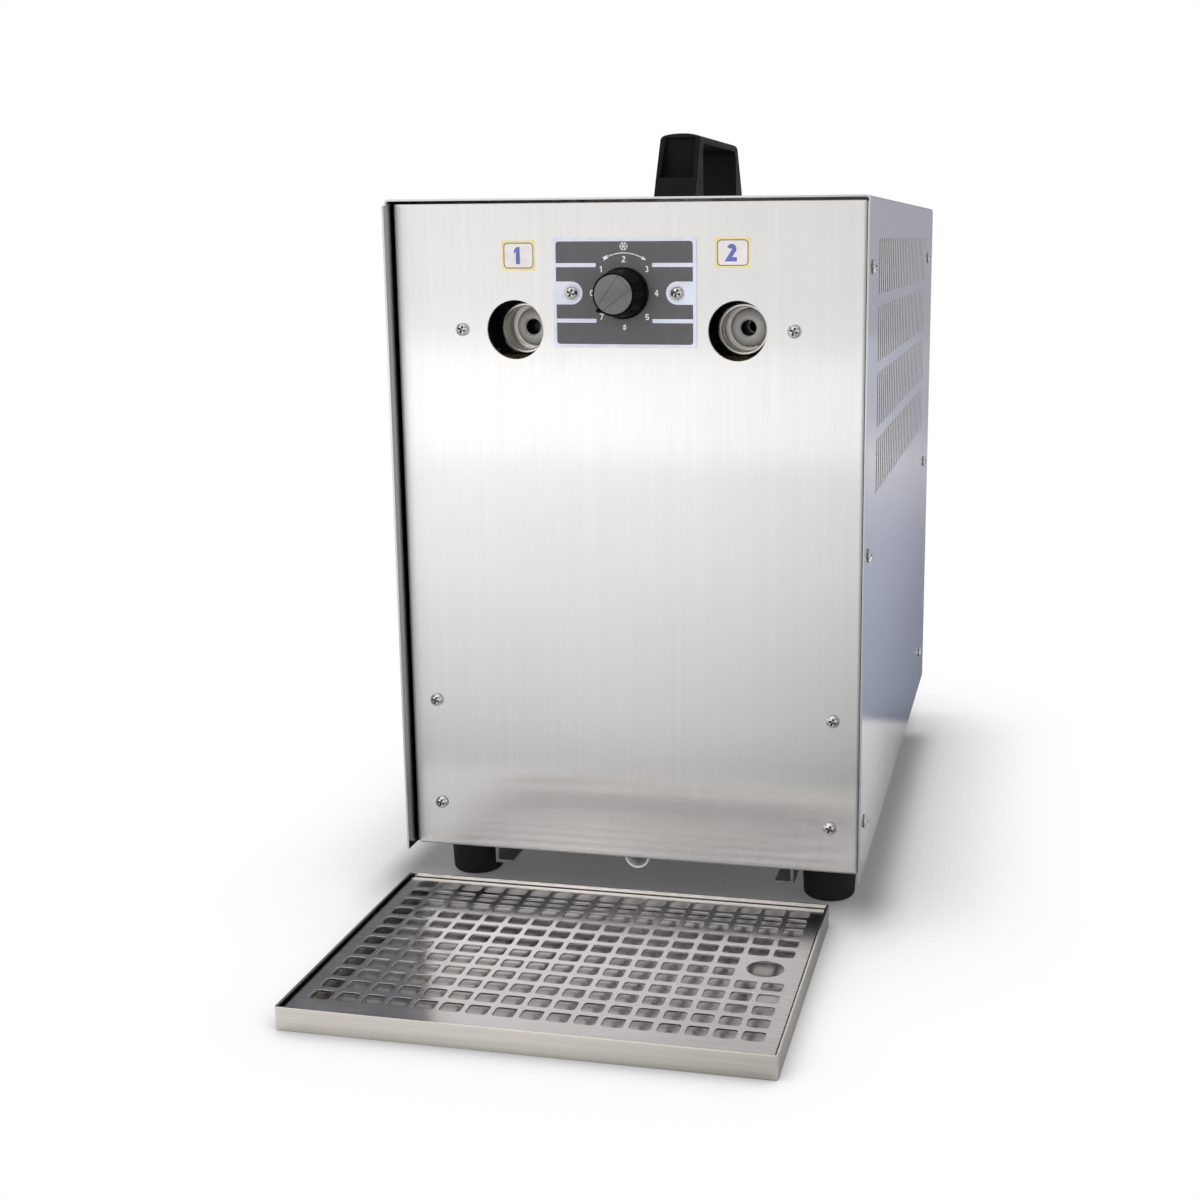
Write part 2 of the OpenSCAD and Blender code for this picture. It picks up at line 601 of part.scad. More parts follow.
module inlet_nut(x) color("silver") in_case() difference() {
  hex(x, rear_in - 6, rear_in, in_z, 24);
  ycyl(x, in_z, 8 + screw_gap, rear_in - 7, rear_in + 1);
}
module inlet_nut_1() inlet_nut(-in_x);
module inlet_nut_2() inlet_nut(in_x);

module compressor() color("black") in_case() difference() {
  union() {
    zrev(0, comp_y, comp_z + 3, concat([[0, -0.5], [can_r - 8, -0.5]], arc(can_r - 12, 14, 12, -60, 0, 4),
      [[can_r, can_h / 2 - 4], [can_r + can_seam, can_h / 2 - 4], [can_r + can_seam, can_h / 2 + 2], [can_r, can_h / 2 + 2]],
      arc(can_r - 40, can_h - 40, 40, 0, 75, 6), [[0, can_h]]));
    translate([0, comp_y, comp_z])
      linear_extrude(3) polygon(rounded(-plate_x, -plate_y, plate_x, plate_y, 10, 4));
    zcyl(-pipe_x, comp_y - pipe_y, 4, comp_z + can_h / 2, comp_z + can_h + 6);
    zcyl(pipe_x, comp_y + pipe_y, 4, comp_z + can_h / 2, comp_z + can_h + 6);
  }
  zcyl(-pipe_x, comp_y - pipe_y, 3 + screw_gap, comp_z + can_h - 2, comp_z + can_h + 7);
  zcyl(pipe_x, comp_y + pipe_y, 3 + screw_gap, comp_z + can_h - 2, comp_z + can_h + 7);
  both() for (s = [-1, 1]) zcyl(grommet_x, comp_y + s * grommet_y, 4.3, comp_z - 1, comp_z + 4);
}
module compressor_grommets() color("dimgray") in_case() both() for (s = [-1, 1]) {
  zcyl(grommet_x, comp_y + s * grommet_y, 9, pan_top, comp_z);
  zcyl(grommet_x, comp_y + s * grommet_y, 4, comp_z - 1, comp_z + 8);
}
module relay_cover() color("ivory") in_case() difference() {
  box(can_r - 20, can_r + 22, comp_y - 28, comp_y + 28, comp_z + 26, comp_z + 76);
  zcyl(0, comp_y, can_r + running_gap, comp_z, comp_z + 90);
}

coil_in_z = coil_z0 + (coil_n - 1) * coil_pitch;
drier_y = comp_y - 20;
module discharge_line() color("peru") in_case() run([[pipe_x, comp_y + pipe_y, comp_z + can_h - 2],
  [pipe_x, comp_y + pipe_y, comp_z + can_h + 40], [coil_x + 24, comp_y + pipe_y, comp_z + can_h + 40],
  [coil_x + 24, coil_y, comp_z + can_h + 40], [coil_x + 24, coil_y, coil_in_z],
  [coil_x + 12.4, coil_y, coil_in_z]], 3);
module suction_line() color("peru") in_case() run([[0, in_y, foam_z1 - 20], [0, in_y, lid_z1 + 12],
  [0, comp_y - pipe_y, lid_z1 + 12], [-pipe_x, comp_y - pipe_y, lid_z1 + 12],
  [-pipe_x, comp_y - pipe_y, comp_z + can_h - 2]], 3);
module filter_drier() color("peru") in_case() difference() {
  zrev(-coil_x - 12, drier_y, foot_h + 60, [[0, 0], [3.5, 0], [3.5, 8], [9, 14], [9, 84], [3.5, 90],
    [3.5, 98], [0, 98]]);
  zcyl(-coil_x - 12, drier_y, 2.6, foot_h + 59, foot_h + 66);
  zcyl(-coil_x - 12, drier_y, 2.6, foot_h + 152, foot_h + 159);
}
module liquid_line() color("peru") in_case() {
  run([[coil_x + 12.4, coil_y, coil_z0], [coil_x + 20, coil_y, coil_z0], [coil_x + 20, shroud_y - 8, coil_z0],
    [coil_x + 20, shroud_y - 8, pan_top + 6], [-coil_x - 12, shroud_y - 8, pan_top + 6],
    [-coil_x - 12, drier_y, pan_top + 6], [-coil_x - 12, drier_y, foot_h + 66]], 2.3);
  run([[-coil_x - 12, drier_y, foot_h + 152], [-coil_x - 12, drier_y, lid_z1 + 24],
    [-coil_x - 12, out_y, lid_z1 + 24], [0, out_y, lid_z1 + 24], [0, out_y, foam_z1 - 20]], 2.3);
}

module condenser_fins() color("gainsboro") in_case() difference() {
  for (i = [0:fin_last]) translate([i * fin_pitch - coil_x + 4, 0, 0]) box(0, fin_t, fin_y0, fin_y1,
    coil_z0 - 14, coil_in_z + 14);
  for (i = [0:coil_n - 1]) xcyl(coil_y, coil_z0 + i * coil_pitch, 4.5, -coil_x, coil_x + 2);
}
module condenser_coil() color("peru") in_case() {
  for (i = [0:coil_n - 1]) xcyl(coil_y, coil_z0 + i * coil_pitch, 4.5, -coil_x,
    i == 0 || i == coil_n - 1 ? coil_x + 12 : coil_x);
  for (i = [0:2:coil_n - 2]) coil_end(-coil_x, coil_z0 + (i + 0.5) * coil_pitch, -90);
  for (i = [1:2:coil_n - 3]) coil_end(coil_x, coil_z0 + (i + 0.5) * coil_pitch, 90);
}
// A return bend in the plane of the coil.
module coil_end(x, z, turn) translate([x, coil_y, z]) rotate([0, turn, 0]) rotate([90, 0, 0])
  rotate_extrude(angle = 180) translate([coil_pitch / 2, 0]) circle(r = 4.5);

module condenser_frame() color("silver") in_case() difference() {
  union() {
    both() box(coil_x + 1.2, coil_x + 2.7, fin_y0 - 10, fin_y1, pan_top, coil_in_z + 18);
    box(-coil_x - 2.7, coil_x + 2.7, fin_y0 - 10, fin_y1, pan_top, pan_top + 1.5);
    box(-coil_x - 2.7, coil_x + 2.7, fin_y0 - 10, fin_y1, coil_in_z + 16.5, coil_in_z + 18);
  }
  for (i = [0:coil_n - 1]) xcyl(coil_y, coil_z0 + i * coil_pitch, 4.5 + screw_gap, -coil_x - 9, coil_x + 9);
}
module fan_shroud() color("dimgray") in_case() difference() {
  union() {
    box(-coil_x - 2.7, coil_x + 2.7, shroud_y, shroud_y + 2, pan_top, coil_in_z + 18);
    both() box(coil_x + 0.7, coil_x + 2.7, shroud_y, fin_y0 - 10, pan_top, coil_in_z + 18);
    ycyl(0, fan_z, fan_r + 6, shroud_y, shroud_y + 16);
  }
  ycyl(0, fan_z, fan_r + 3, shroud_y - 1, shroud_y + 17);
}
module fan_strap() color("silver") in_case() difference() {
  union() {
    box(-11, 11, strap_y, strap_y + 2, fan_z - fan_r - 14, fan_z + fan_r + 14);
    for (s = [-1, 1]) translate([0, 0, fan_z + s * (fan_r + 13)])
      box(-11, 11, strap_y, shroud_y, -1, 1);
  }
  ycyl(0, fan_z, 4, strap_y - 1, strap_y + 3);
}
module fan_motor() color("black") in_case() difference() {
  union() {
    yrev(0, strap_y + 2, fan_z, [[0, 0], [26, 0], [30, 4], [30, 30], [22, 36], [0, 36]]);
    ycyl(0, fan_z, 8, strap_y + 37, strap_y + 42);
    ycyl(0, fan_z, 12, strap_y + 36, strap_y + 38);
  }
  ycyl(0, fan_z, 3 + running_gap, strap_y + 14, strap_y + 43);
}
module fan_rotor() color("white") in_case() {
  ycyl(0, fan_z, 3, strap_y + 16, rotor_y0 + 2);
  ycyl(0, fan_z, 26, rotor_y0, rotor_y0 + 15);
  for (a = [0:72:288]) intersection() {
    translate([0, rotor_y0 + 7.5, fan_z]) rotate([0, a, 0]) rotate([0, 0, 0]) translate([0, 0, 25])
      rotate([0, 0, 26]) translate([-26, -0.9, -4]) cube([52, 1.8, fan_r]);
    difference() {
      ycyl(0, fan_z, fan_r, rotor_y0 - 1, rotor_y0 + 16);
      ycyl(0, fan_z, 25.5, rotor_y0 - 2, rotor_y0 + 17);
    }
  }
}

module cable_gland() color("black") in_case() difference() {
  union() {
    ycyl(gland_x, gland_z, 8, rear_in - 9, rear_face + 2);
    hex(gland_x, rear_face, rear_face + 6, gland_z, 22);
    yrev(gland_x, rear_face + 5, gland_z, [[0, 0], [10, 0], [10, 9], [7, 14], [0, 14]]);
    hex(gland_x, rear_in - 7, rear_in, gland_z, 22);
  }
  ycyl(gland_x, gland_z, 4, rear_in - 10, rear_face + 20);
}

module in_tray() translate([tray_x, -part_l / 2 + tray_d / 2, 0]) children();
module drip_tray() color("silver") in_tray() difference() {
  linear_extrude(tray_h) polygon(rounded(-tray_w / 2, -tray_d / 2, tray_w / 2, tray_d / 2, 1.6, 3));
  box(-tray_w / 2 + tray_rim, tray_w / 2 - tray_rim, -tray_d / 2 + tray_rim, tray_d / 2 - tray_rim,
    tray_z, tray_h + 1);
}
module drip_grille() color("gainsboro") in_tray()
  translate([0, 0, grille_z - grille_t]) linear_extrude(grille_t) difference() {
    square([grille_w, grille_d], center = true);
    for (i = [0:grille_cols - 1], k = [0:grille_rows - 1])
      if (i < grille_cols - 2 || abs(k - (grille_rows - 1) / 2) > 1)
        translate([(i - (grille_cols - 1) / 2) * grille_pitch_x,
          grille_shift + (k - (grille_rows - 1) / 2) * grille_pitch_y])
          polygon(rounded(-grille_hole_w / 2, -grille_hole_d / 2, grille_hole_w / 2, grille_hole_d / 2, 2, 2));
    translate([finger_x, grille_shift]) circle(d = finger_d);
  }
// Strips under the grille's edges, which hold it off the tray's floor.
module grille_edges() color("gainsboro") in_tray() {
  both() box(grille_w / 2 - edge_t, grille_w / 2, -grille_d / 2, grille_d / 2, edge_z0, edge_z1);
  side = grille_w / 2 - edge_t - edge_gap;
  for (s = [-1, 1]) translate([0, s * (grille_d - edge_t) / 2, 0])
    box(-side, side, -edge_t / 2, edge_t / 2, edge_z0, edge_z1);
}

base_pan();
front_panel();
wrap_cover();
rear_panel();
carry_handle();
handle_screws();
foot_front_left();
foot_front_right();
foot_rear_left();
foot_rear_right();
foot_screws();
runner_left();
runner_right();
drain_spout();
front_panel_screws();
cover_screws();
rear_panel_screws();
dial_plate();
dial_plate_screws();
thermostat();
thermostat_spindle();
knob();
knob_cap();
port_bridge();
tap_socket_1();
tap_socket_2();
socket_nut_1();
socket_nut_2();
tap_nose_1();
tap_nose_2();
outlet_line_1();
outlet_line_2();
cold_block();
foam_box();
foam_lid();
inlet_line_1();
inlet_line_2();
inlet_stub_1();
inlet_stub_2();
inlet_nut_1();
inlet_nut_2();
compressor();
compressor_grommets();
relay_cover();
discharge_line();
suction_line();
liquid_line();
filter_drier();
condenser_fins();
condenser_coil();
condenser_frame();
fan_shroud();
fan_motor();
fan_strap();
fan_rotor();
cable_gland();
drip_tray();
drip_grille();
grille_edges();
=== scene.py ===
"""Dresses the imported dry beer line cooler: sheet steel, plastics, dial print, stickers and a studio stage."""

import math

import bmesh
import bpy
from bpy.props import FloatProperty, FloatVectorProperty, IntProperty, PointerProperty
from mathutils import Matrix, Vector


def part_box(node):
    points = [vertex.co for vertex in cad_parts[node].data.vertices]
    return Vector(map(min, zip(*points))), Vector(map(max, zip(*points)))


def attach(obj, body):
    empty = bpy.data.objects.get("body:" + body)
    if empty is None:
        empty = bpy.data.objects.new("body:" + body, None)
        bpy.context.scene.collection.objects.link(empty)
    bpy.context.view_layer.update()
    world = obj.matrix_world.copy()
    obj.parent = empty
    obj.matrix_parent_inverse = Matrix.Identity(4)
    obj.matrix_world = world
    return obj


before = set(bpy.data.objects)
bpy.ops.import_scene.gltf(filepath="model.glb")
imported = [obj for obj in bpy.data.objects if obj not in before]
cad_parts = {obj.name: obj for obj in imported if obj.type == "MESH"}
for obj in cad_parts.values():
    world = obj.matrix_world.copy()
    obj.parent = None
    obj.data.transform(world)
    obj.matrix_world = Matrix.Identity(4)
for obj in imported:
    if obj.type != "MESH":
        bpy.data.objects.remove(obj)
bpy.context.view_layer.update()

bl_info = {
    "name": "Beer Line Cooler Finishes",
    "version": (1, 0, 0),
    "blender": (4, 5, 0),
    "location": "View3D > Sidebar > Cooler",
    "description": "Finishes, dial print, stickers and stage for a two-port dry beer line cooler",
    "category": "Object",
}

MM = 0.001
PHOTO_SIZE = 1200
SENSOR_WIDTH = 36.0

# Places that the frame gives.
COVER_LOW, COVER_HIGH = (Vector(corner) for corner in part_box("wrap_cover"))
DIAL_LOW, DIAL_HIGH = (Vector(corner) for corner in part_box("dial_plate"))
CAP_LOW, CAP_HIGH = (Vector(corner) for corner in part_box("knob_cap"))
NOSE_LOW, NOSE_HIGH = (Vector(corner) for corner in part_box("tap_nose_1"))
PANEL_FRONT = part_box("front_panel")[0][1]
COVER_FRONT = COVER_LOW.y

# Shares of a piece's own depth and width, for masks that read places within its box.
NOSE_BORE_RADIUS = 4.8 * MM
COVER_RIM = (PANEL_FRONT - COVER_FRONT) / (COVER_HIGH.y - COVER_FRONT)
NOSE_BORE = NOSE_BORE_RADIUS / (NOSE_HIGH.x - NOSE_LOW.x)


# Properties

def length(name, description, default):
    """A size in metres."""
    return FloatProperty(name=name, description=description, default=default, unit="LENGTH", precision=5)


def share(name, description, default):
    """A number from 0 to 1."""
    return FloatProperty(name=name, description=description, default=default, min=0.0, max=1.0,
                         subtype="FACTOR")


def colour(name, description, default):
    """A linear colour."""
    return FloatVectorProperty(name=name, description=description, default=default, size=3, min=0.0, max=1.0,
                               subtype="COLOR")


def turn(name, description, default):
    """An angle in radians."""
    return FloatProperty(name=name, description=description, default=default, subtype="ANGLE", precision=4)


def power(name, description, default):
    """A lamp's power in watts."""
    return FloatProperty(name=name, description=description, default=default, unit="POWER")


def pixels(name, description, default):
    """A measure in the photograph's pixels."""
    return FloatProperty(name=name, description=description, default=default)


class CoolerMetal(bpy.types.PropertyGroup):
    """Colours and polish of the metal pieces."""
    panel: colour("Panel", "Brushed front and rear panels", (0.975, 0.955, 0.935))
    cover: colour("Cover", "Satin wrap cover", (0.78, 0.79, 0.82))
    cut: colour("Cut edges", "Sheared sides of the cover's slots", (0.97, 0.965, 0.96))
    pan: colour("Pan", "Galvanised base pan, brackets and runners", (0.50, 0.51, 0.53))
    tray: colour("Tray", "Drip tray", (0.93, 0.88, 0.81))
    # The basin's darker tone is painted shade under the grille.
    basin: colour("Basin", "Floor of the drip tray", (0.56, 0.545, 0.53))
    grille: colour("Grille", "Punched grille", (0.74, 0.725, 0.73))
    turned: colour("Turned", "Tap sockets and lines", (0.86, 0.83, 0.78))
    nose: colour("Noses", "Satin ball noses in the tap sockets", (0.98, 0.97, 0.95))
    screw: colour("Screws", "Zinc screws", (0.88, 0.87, 0.84))
    aluminium: colour("Aluminium", "Cold block and fins", (0.68, 0.69, 0.71))
    copper: colour("Copper", "Refrigerant pipes", (0.72, 0.36, 0.20))
    panel_roughness: share("Panel roughness", "Blur of the panel's reflections", 0.18)
    cover_roughness: share("Cover roughness", "Blur of the cover's reflections", 0.13)


class CoolerPlastic(bpy.types.PropertyGroup):
    """Colours of the plastic, rubber, foam and enamel pieces."""
    handle: colour("Handle", "Moulded handle, shroud and gland", (0.009, 0.009, 0.010))
    knob: colour("Knob", "Knob's fluted body", (0.003, 0.003, 0.004))
    cap: colour("Cap", "Knob's grey cap", (0.135, 0.132, 0.140))
    white: colour("White parts", "Thermostat, relay cover, fan and drain", (0.74, 0.73, 0.69))
    rubber: colour("Rubber", "Feet and grommets", (0.009, 0.009, 0.010))
    foam: colour("Foam", "Insulation", (0.72, 0.60, 0.34))
    # The port bridge's black is painted shade seen through the tap holes.
    enamel: colour("Enamel", "Compressor, fan motor and port bridge", (0.010, 0.010, 0.011))


class CoolerPrint(bpy.types.PropertyGroup):
    """The dial's print and the port stickers."""
    border: colour("Border", "Pale border and bars of the dial plate", (0.66, 0.68, 0.78))
    field: colour("Field", "Dark field of the dial plate", (0.095, 0.092, 0.096))
    mark: colour("Marks", "Numbers, arrow and snow crystal", (0.80, 0.80, 0.83))
    number_radius: length("Number radius", "Distance of the numbers from the knob's axis", 19.6 * MM)
    number_height: length("Number height", "Height of a number", 3.6 * MM)
    arrow_radius: length("Arrow radius", "Radius of the curved arrow", 23.2 * MM)
    bar_offset: length("Bar offset", "Distance of the bars above and below the knob's axis", 16.2 * MM)
    numbers: IntProperty(name="Numbers", description="How many numbers the dial has", default=8, min=2,
                         max=8)
    sticker_edge: colour("Sticker edge", "Yellow edge of a port sticker", (0.78, 0.66, 0.26))
    sticker_field: colour("Sticker field", "Pale field of a port sticker", (0.74, 0.69, 0.67))
    sticker_line: colour("Sticker line", "Grey outline of a port sticker", (0.23, 0.21, 0.24))
    sticker_number: colour("Sticker number", "Blue number of a port sticker", (0.11, 0.14, 0.43))
    sticker_width: length("Sticker width", "Width of a port sticker", 20.8 * MM)
    sticker_height: length("Sticker height", "Height of a port sticker", 17.4 * MM)


class CoolerStage(bpy.types.PropertyGroup):
    """Camera and lamps. The camera's place is measured from the cover's front plane and the floor."""
    camera_x: length("Camera X", "Camera to the right of the cooler's middle", 245.0 * MM)
    camera_y: length("Camera Y", "Camera from the cover's front plane, along the depth", -939.7 * MM)
    camera_z: length("Camera Z", "Camera above the floor", 415.3 * MM)
    yaw: turn("Yaw", "Turn of the view about the vertical", -0.2136)
    pitch: turn("Pitch", "Downward tilt of the view", 0.1983)
    roll: turn("Roll", "Turn of the view about its own axis", -0.0053)
    focal: pixels("Focal length", "Focal length in photo pixels", 1648.65)
    centre_x: pixels("Centre X", "Optical centre in photo pixels", 690.0)
    centre_y: pixels("Centre Y", "Optical centre in photo pixels", 570.0)
    key_power: power("Key power", "Power of the key lamp", 5.0)
    fill_power: power("Fill power", "Power of the fill lamp", 12.0)
    front_power: power("Front power", "Power of the front lamp", 5.0)
    strip_power: power("Strip power", "Power of the low front lamp", 0.22)
    sky: FloatProperty(name="Sky", description="Strength of the room's soft light", default=0.78)


# Node helpers

def link(tree, source, target):
    """Joins two sockets."""
    tree.links.new(source, target)


def feed(tree, socket, value):
    """Gives an input a link or a plain value."""
    if isinstance(value, bpy.types.NodeSocket):
        link(tree, value, socket)
    else:
        socket.default_value = value


def math_node(tree, operation, *values):
    """A Math node. Each value is a socket or a number."""
    node = tree.nodes.new("ShaderNodeMath")
    node.operation = operation
    for socket, value in zip(node.inputs, values):
        feed(tree, socket, value)
    return node.outputs[0]


def product(tree, first, *others):
    """The product of two or more values."""
    for other in others:
        first = math_node(tree, "MULTIPLY", first, other)
    return first


def vector_node(tree, operation, *values):
    """A Vector Math node. Each value is a socket or three numbers."""
    node = tree.nodes.new("ShaderNodeVectorMath")
    node.operation = operation
    for socket, value in zip(node.inputs, values):
        feed(tree, socket, value)
    return node.outputs


def split(tree, vector):
    """A vector's axes, by their names."""
    node = tree.nodes.new("ShaderNodeSeparateXYZ")
    link(tree, vector, node.inputs[0])
    return node.outputs


def surface(tree, quality):
    """What the Geometry node tells of the surface, such as its Normal."""
    return tree.nodes.new("ShaderNodeNewGeometry").outputs[quality]


def place_on(tree, kind):
    """A place on the piece: Object is in its own metres, Generated in shares of its box."""
    return tree.nodes.new("ShaderNodeTexCoord").outputs[kind]


def map_range(tree, value, low, high, to_low=0.0, to_high=1.0, smooth=False):
    """A clamped Map Range node."""
    node = tree.nodes.new("ShaderNodeMapRange")
    node.interpolation_type = "SMOOTHSTEP" if smooth else "LINEAR"
    link(tree, value, node.inputs["Value"])
    for name, number in (("From Min", low), ("From Max", high), ("To Min", to_low), ("To Max", to_high)):
        node.inputs[name].default_value = number
    return node.outputs["Result"]


def mix_colour(tree, factor, a, b):
    """Mixes two colours, each a socket or three numbers."""
    node = tree.nodes.new("ShaderNodeMix")
    node.data_type = "RGBA"
    link(tree, factor, node.inputs[0])
    for socket, value in ((node.inputs[6], a), (node.inputs[7], b)):
        feed(tree, socket, value if isinstance(value, bpy.types.NodeSocket) else (*value, 1.0))
    return node.outputs[2]


def shade(rgb, factor):
    """A colour made lighter or darker."""
    return tuple(min(1.0, part * factor) for part in rgb)


def grey(value):
    """A neutral colour."""
    return (value, value, value)


def stretched_noise(tree, stretch, detail, roughness):
    """Noise in the object's own metres, with its own scale along each axis."""
    noise = tree.nodes.new("ShaderNodeTexNoise")
    noise.inputs["Scale"].default_value = 1.0
    noise.inputs["Detail"].default_value = detail
    noise.inputs["Roughness"].default_value = roughness
    stretched = vector_node(tree, "MULTIPLY", place_on(tree, "Object"), stretch)
    link(tree, stretched[0], noise.inputs["Vector"])
    return noise.outputs["Fac"]


# Shared effects

BOX_MIDDLE = (0.5, 0.5, 0.5)


def new_group(name, inputs, outputs):
    """An empty shader node group. An input with three numbers is a vector, and so is a normal put out."""
    tree = bpy.data.node_groups.new(name, "ShaderNodeTree")
    for label, default in inputs.items():
        kind = "NodeSocketVector" if isinstance(default, tuple) else "NodeSocketFloat"
        socket = tree.interface.new_socket(label, in_out="INPUT", socket_type=kind)
        socket.default_value = default
    for label in outputs:
        kind = "NodeSocketVector" if label.endswith("Normal") else "NodeSocketFloat"
        tree.interface.new_socket(label, in_out="OUTPUT", socket_type=kind)
    given = tree.nodes.new("NodeGroupInput")
    result = tree.nodes.new("NodeGroupOutput")
    return tree, given.outputs, result.inputs


def build_brushed_grain():
    """Long fine scratches: a Grain value, and Streaks that are coarser."""
    tree, given, result = new_group(
        "Brushed Grain", {"Fine": (1800, 1800, 14), "Coarse": (220, 220, 3)}, ["Grain", "Streaks"])
    contrast = (0.3, 0.7)
    fine = stretched_noise(tree, given["Fine"], detail=3.0, roughness=0.6)
    coarse = stretched_noise(tree, given["Coarse"], detail=2.0, roughness=0.5)
    link(tree, map_range(tree, fine, *contrast), result["Grain"])
    link(tree, map_range(tree, coarse, *contrast), result["Streaks"])
    return tree


def build_handling_marks():
    """Soft cloudy marks that hands and cloths leave."""
    tree, given, result = new_group("Handling Marks", {"Size": (9, 9, 9)}, ["Marks"])
    contrast = (0.36, 0.68)
    cloud = stretched_noise(tree, given["Size"], detail=5.0, roughness=0.62)
    link(tree, map_range(tree, cloud, *contrast, smooth=True), result["Marks"])
    return tree


def build_edge_rubbing_and_highlight():
    """A mask of the edges, broken up by noise, for wear and for painted highlight, and a normal that rounds
    them as punching and bending do.
    """
    tree, given, result = new_group(
        "Edge Wear", {"Width": 0.0006, "Breaks": (300, 300, 300)}, ["Wear", "Round Normal"])
    contrast = (0.35, 0.65)
    least_edge_mark = 0.25
    edge_likeness, flat_likeness = 0.80, 0.99
    bevel = tree.nodes.new("ShaderNodeBevel")
    bevel.samples = 4
    link(tree, given["Width"], bevel.inputs["Radius"])
    likeness = vector_node(tree, "DOT_PRODUCT", bevel.outputs["Normal"], surface(tree, "Normal"))["Value"]
    edge = map_range(tree, likeness, edge_likeness, flat_likeness, 1.0, 0.0)
    noise = stretched_noise(tree, given["Breaks"], detail=3.0, roughness=0.6)
    breaks = map_range(tree, noise, *contrast, least_edge_mark, 1.0)
    link(tree, product(tree, edge, breaks), result["Wear"])
    link(tree, bevel.outputs["Normal"], result["Round Normal"])
    return tree


def build_moulded_skin():
    """Fine grain of moulded plastic or rubber, and soft mottling."""
    tree, given, result = new_group(
        "Moulded Skin", {"Pits": (2600, 2600, 2600), "Clouds": (45, 45, 45)}, ["Skin", "Mottle"])
    contrast = (0.32, 0.68)
    link(tree, stretched_noise(tree, given["Pits"], detail=2.0, roughness=0.5), result["Skin"])
    clouds = stretched_noise(tree, given["Clouds"], detail=4.0, roughness=0.6)
    link(tree, map_range(tree, clouds, *contrast), result["Mottle"])
    return tree


def build_settled_dust():
    """A mask of thin dust on faces that look up."""
    tree, given, result = new_group("Settled Dust", {"Spread": (60, 60, 60)}, ["Dust"])
    steep, level = 0.4, 1.0
    contrast = (0.4, 0.75)
    least_dust = 0.15
    upward = map_range(tree, split(tree, surface(tree, "Normal"))["Z"], steep, level, smooth=True)
    noise = stretched_noise(tree, given["Spread"], detail=5.0, roughness=0.65)
    spread = map_range(tree, noise, *contrast, least_dust, 1.0)
    link(tree, product(tree, upward, spread), result["Dust"])
    return tree


def build_sheet_waviness():
    """Long shallow waves that thin sheet keeps from rolling and bending."""
    tree, given, result = new_group("Sheet Waviness", {"Size": (7, 7, 26)}, ["Wave"])
    link(tree, stretched_noise(tree, given["Size"], detail=1.0, roughness=0.4), result["Wave"])
    return tree


def build_basin_floor_shade():
    """A mask of up-looking faces below a level, in patches, for painted shade on the floor under a grille."""
    tree, given, result = new_group("Basin Film", {"Level": 0.004, "Patches": (30, 30, 30)}, ["Film"])
    steep, level = 0.3, 0.8
    contrast = (0.35, 0.65)
    least_floor_shade = 0.75
    upward = map_range(tree, split(tree, surface(tree, "Normal"))["Z"], steep, level)
    low = math_node(tree, "LESS_THAN", split(tree, place_on(tree, "Object"))["Z"], given["Level"])
    noise = stretched_noise(tree, given["Patches"], detail=4.0, roughness=0.6)
    patches = map_range(tree, noise, *contrast, least_floor_shade, 1.0)
    link(tree, product(tree, low, upward, patches), result["Film"])
    return tree


def build_inner_wall_shade():
    """A mask of the side walls that look to the middle of a piece, for painted shade, half as strong on a rim
    at the front.
    """
    tree, given, result = new_group("Inner Wall Shade", {"Least": 0.2, "Rim": 0.0}, ["Inside"])
    rim_strength = 0.5
    place = place_on(tree, "Generated")
    sideways = vector_node(tree, "MULTIPLY", surface(tree, "True Normal"), (1.0, 0.0, 0.0))[0]
    to_middle = vector_node(tree, "SUBTRACT", BOX_MIDDLE, place)[0]
    inward = vector_node(tree, "DOT_PRODUCT", sideways, to_middle)["Value"]
    inner_wall_shade = math_node(tree, "GREATER_THAN", inward, given["Least"])
    behind_rim = math_node(tree, "GREATER_THAN", split(tree, place)["Y"], given["Rim"])
    strength = map_range(tree, behind_rim, 0.0, 1.0, rim_strength, 1.0)
    link(tree, product(tree, inner_wall_shade, strength), result["Inside"])
    return tree


def build_cut_edges():
    """Masks of the slots' sheared sides, which look to the front or back, and of their deeper part away from
    the outer face, for painted shade.
    """
    tree, given, result = new_group("Cut Edges", {"Turn": 0.8, "Burnish": 0.0009}, ["Cut", "Deep Shade"])
    # Shares of the cover's width and depth, with 0 in the middle and 0.5 at the outer faces.
    outer, slots_end = 0.5, 0.49
    facing = math_node(tree, "ABSOLUTE", split(tree, surface(tree, "True Normal"))["Y"])
    sheared = math_node(tree, "GREATER_THAN", facing, given["Turn"])
    place = split(tree, place_on(tree, "Generated"))
    from_middle = (math_node(tree, "SUBTRACT", place[axis], outer) for axis in "XY")
    wide, deep = (math_node(tree, "ABSOLUTE", distance) for distance in from_middle)
    cut = product(tree, sheared, math_node(tree, "LESS_THAN", deep, slots_end))
    burnish_end = math_node(tree, "SUBTRACT", outer, given["Burnish"])
    link(tree, cut, result["Cut"])
    link(tree, product(tree, cut, math_node(tree, "LESS_THAN", wide, burnish_end)), result["Deep Shade"])
    return tree


def build_crevice_painted_shade():
    """A mask of painted shade in recesses and along the foot of a step, from ambient occlusion."""
    tree, given, result = new_group("Crevice Grime", {"Reach": 0.0022}, ["Grime"])
    tight, open_air = 0.45, 0.90
    hidden = tree.nodes.new("ShaderNodeAmbientOcclusion")
    hidden.samples = 8
    link(tree, given["Reach"], hidden.inputs["Distance"])
    link(tree, map_range(tree, hidden.outputs["AO"], tight, open_air, 1.0, 0.0), result["Grime"])
    return tree


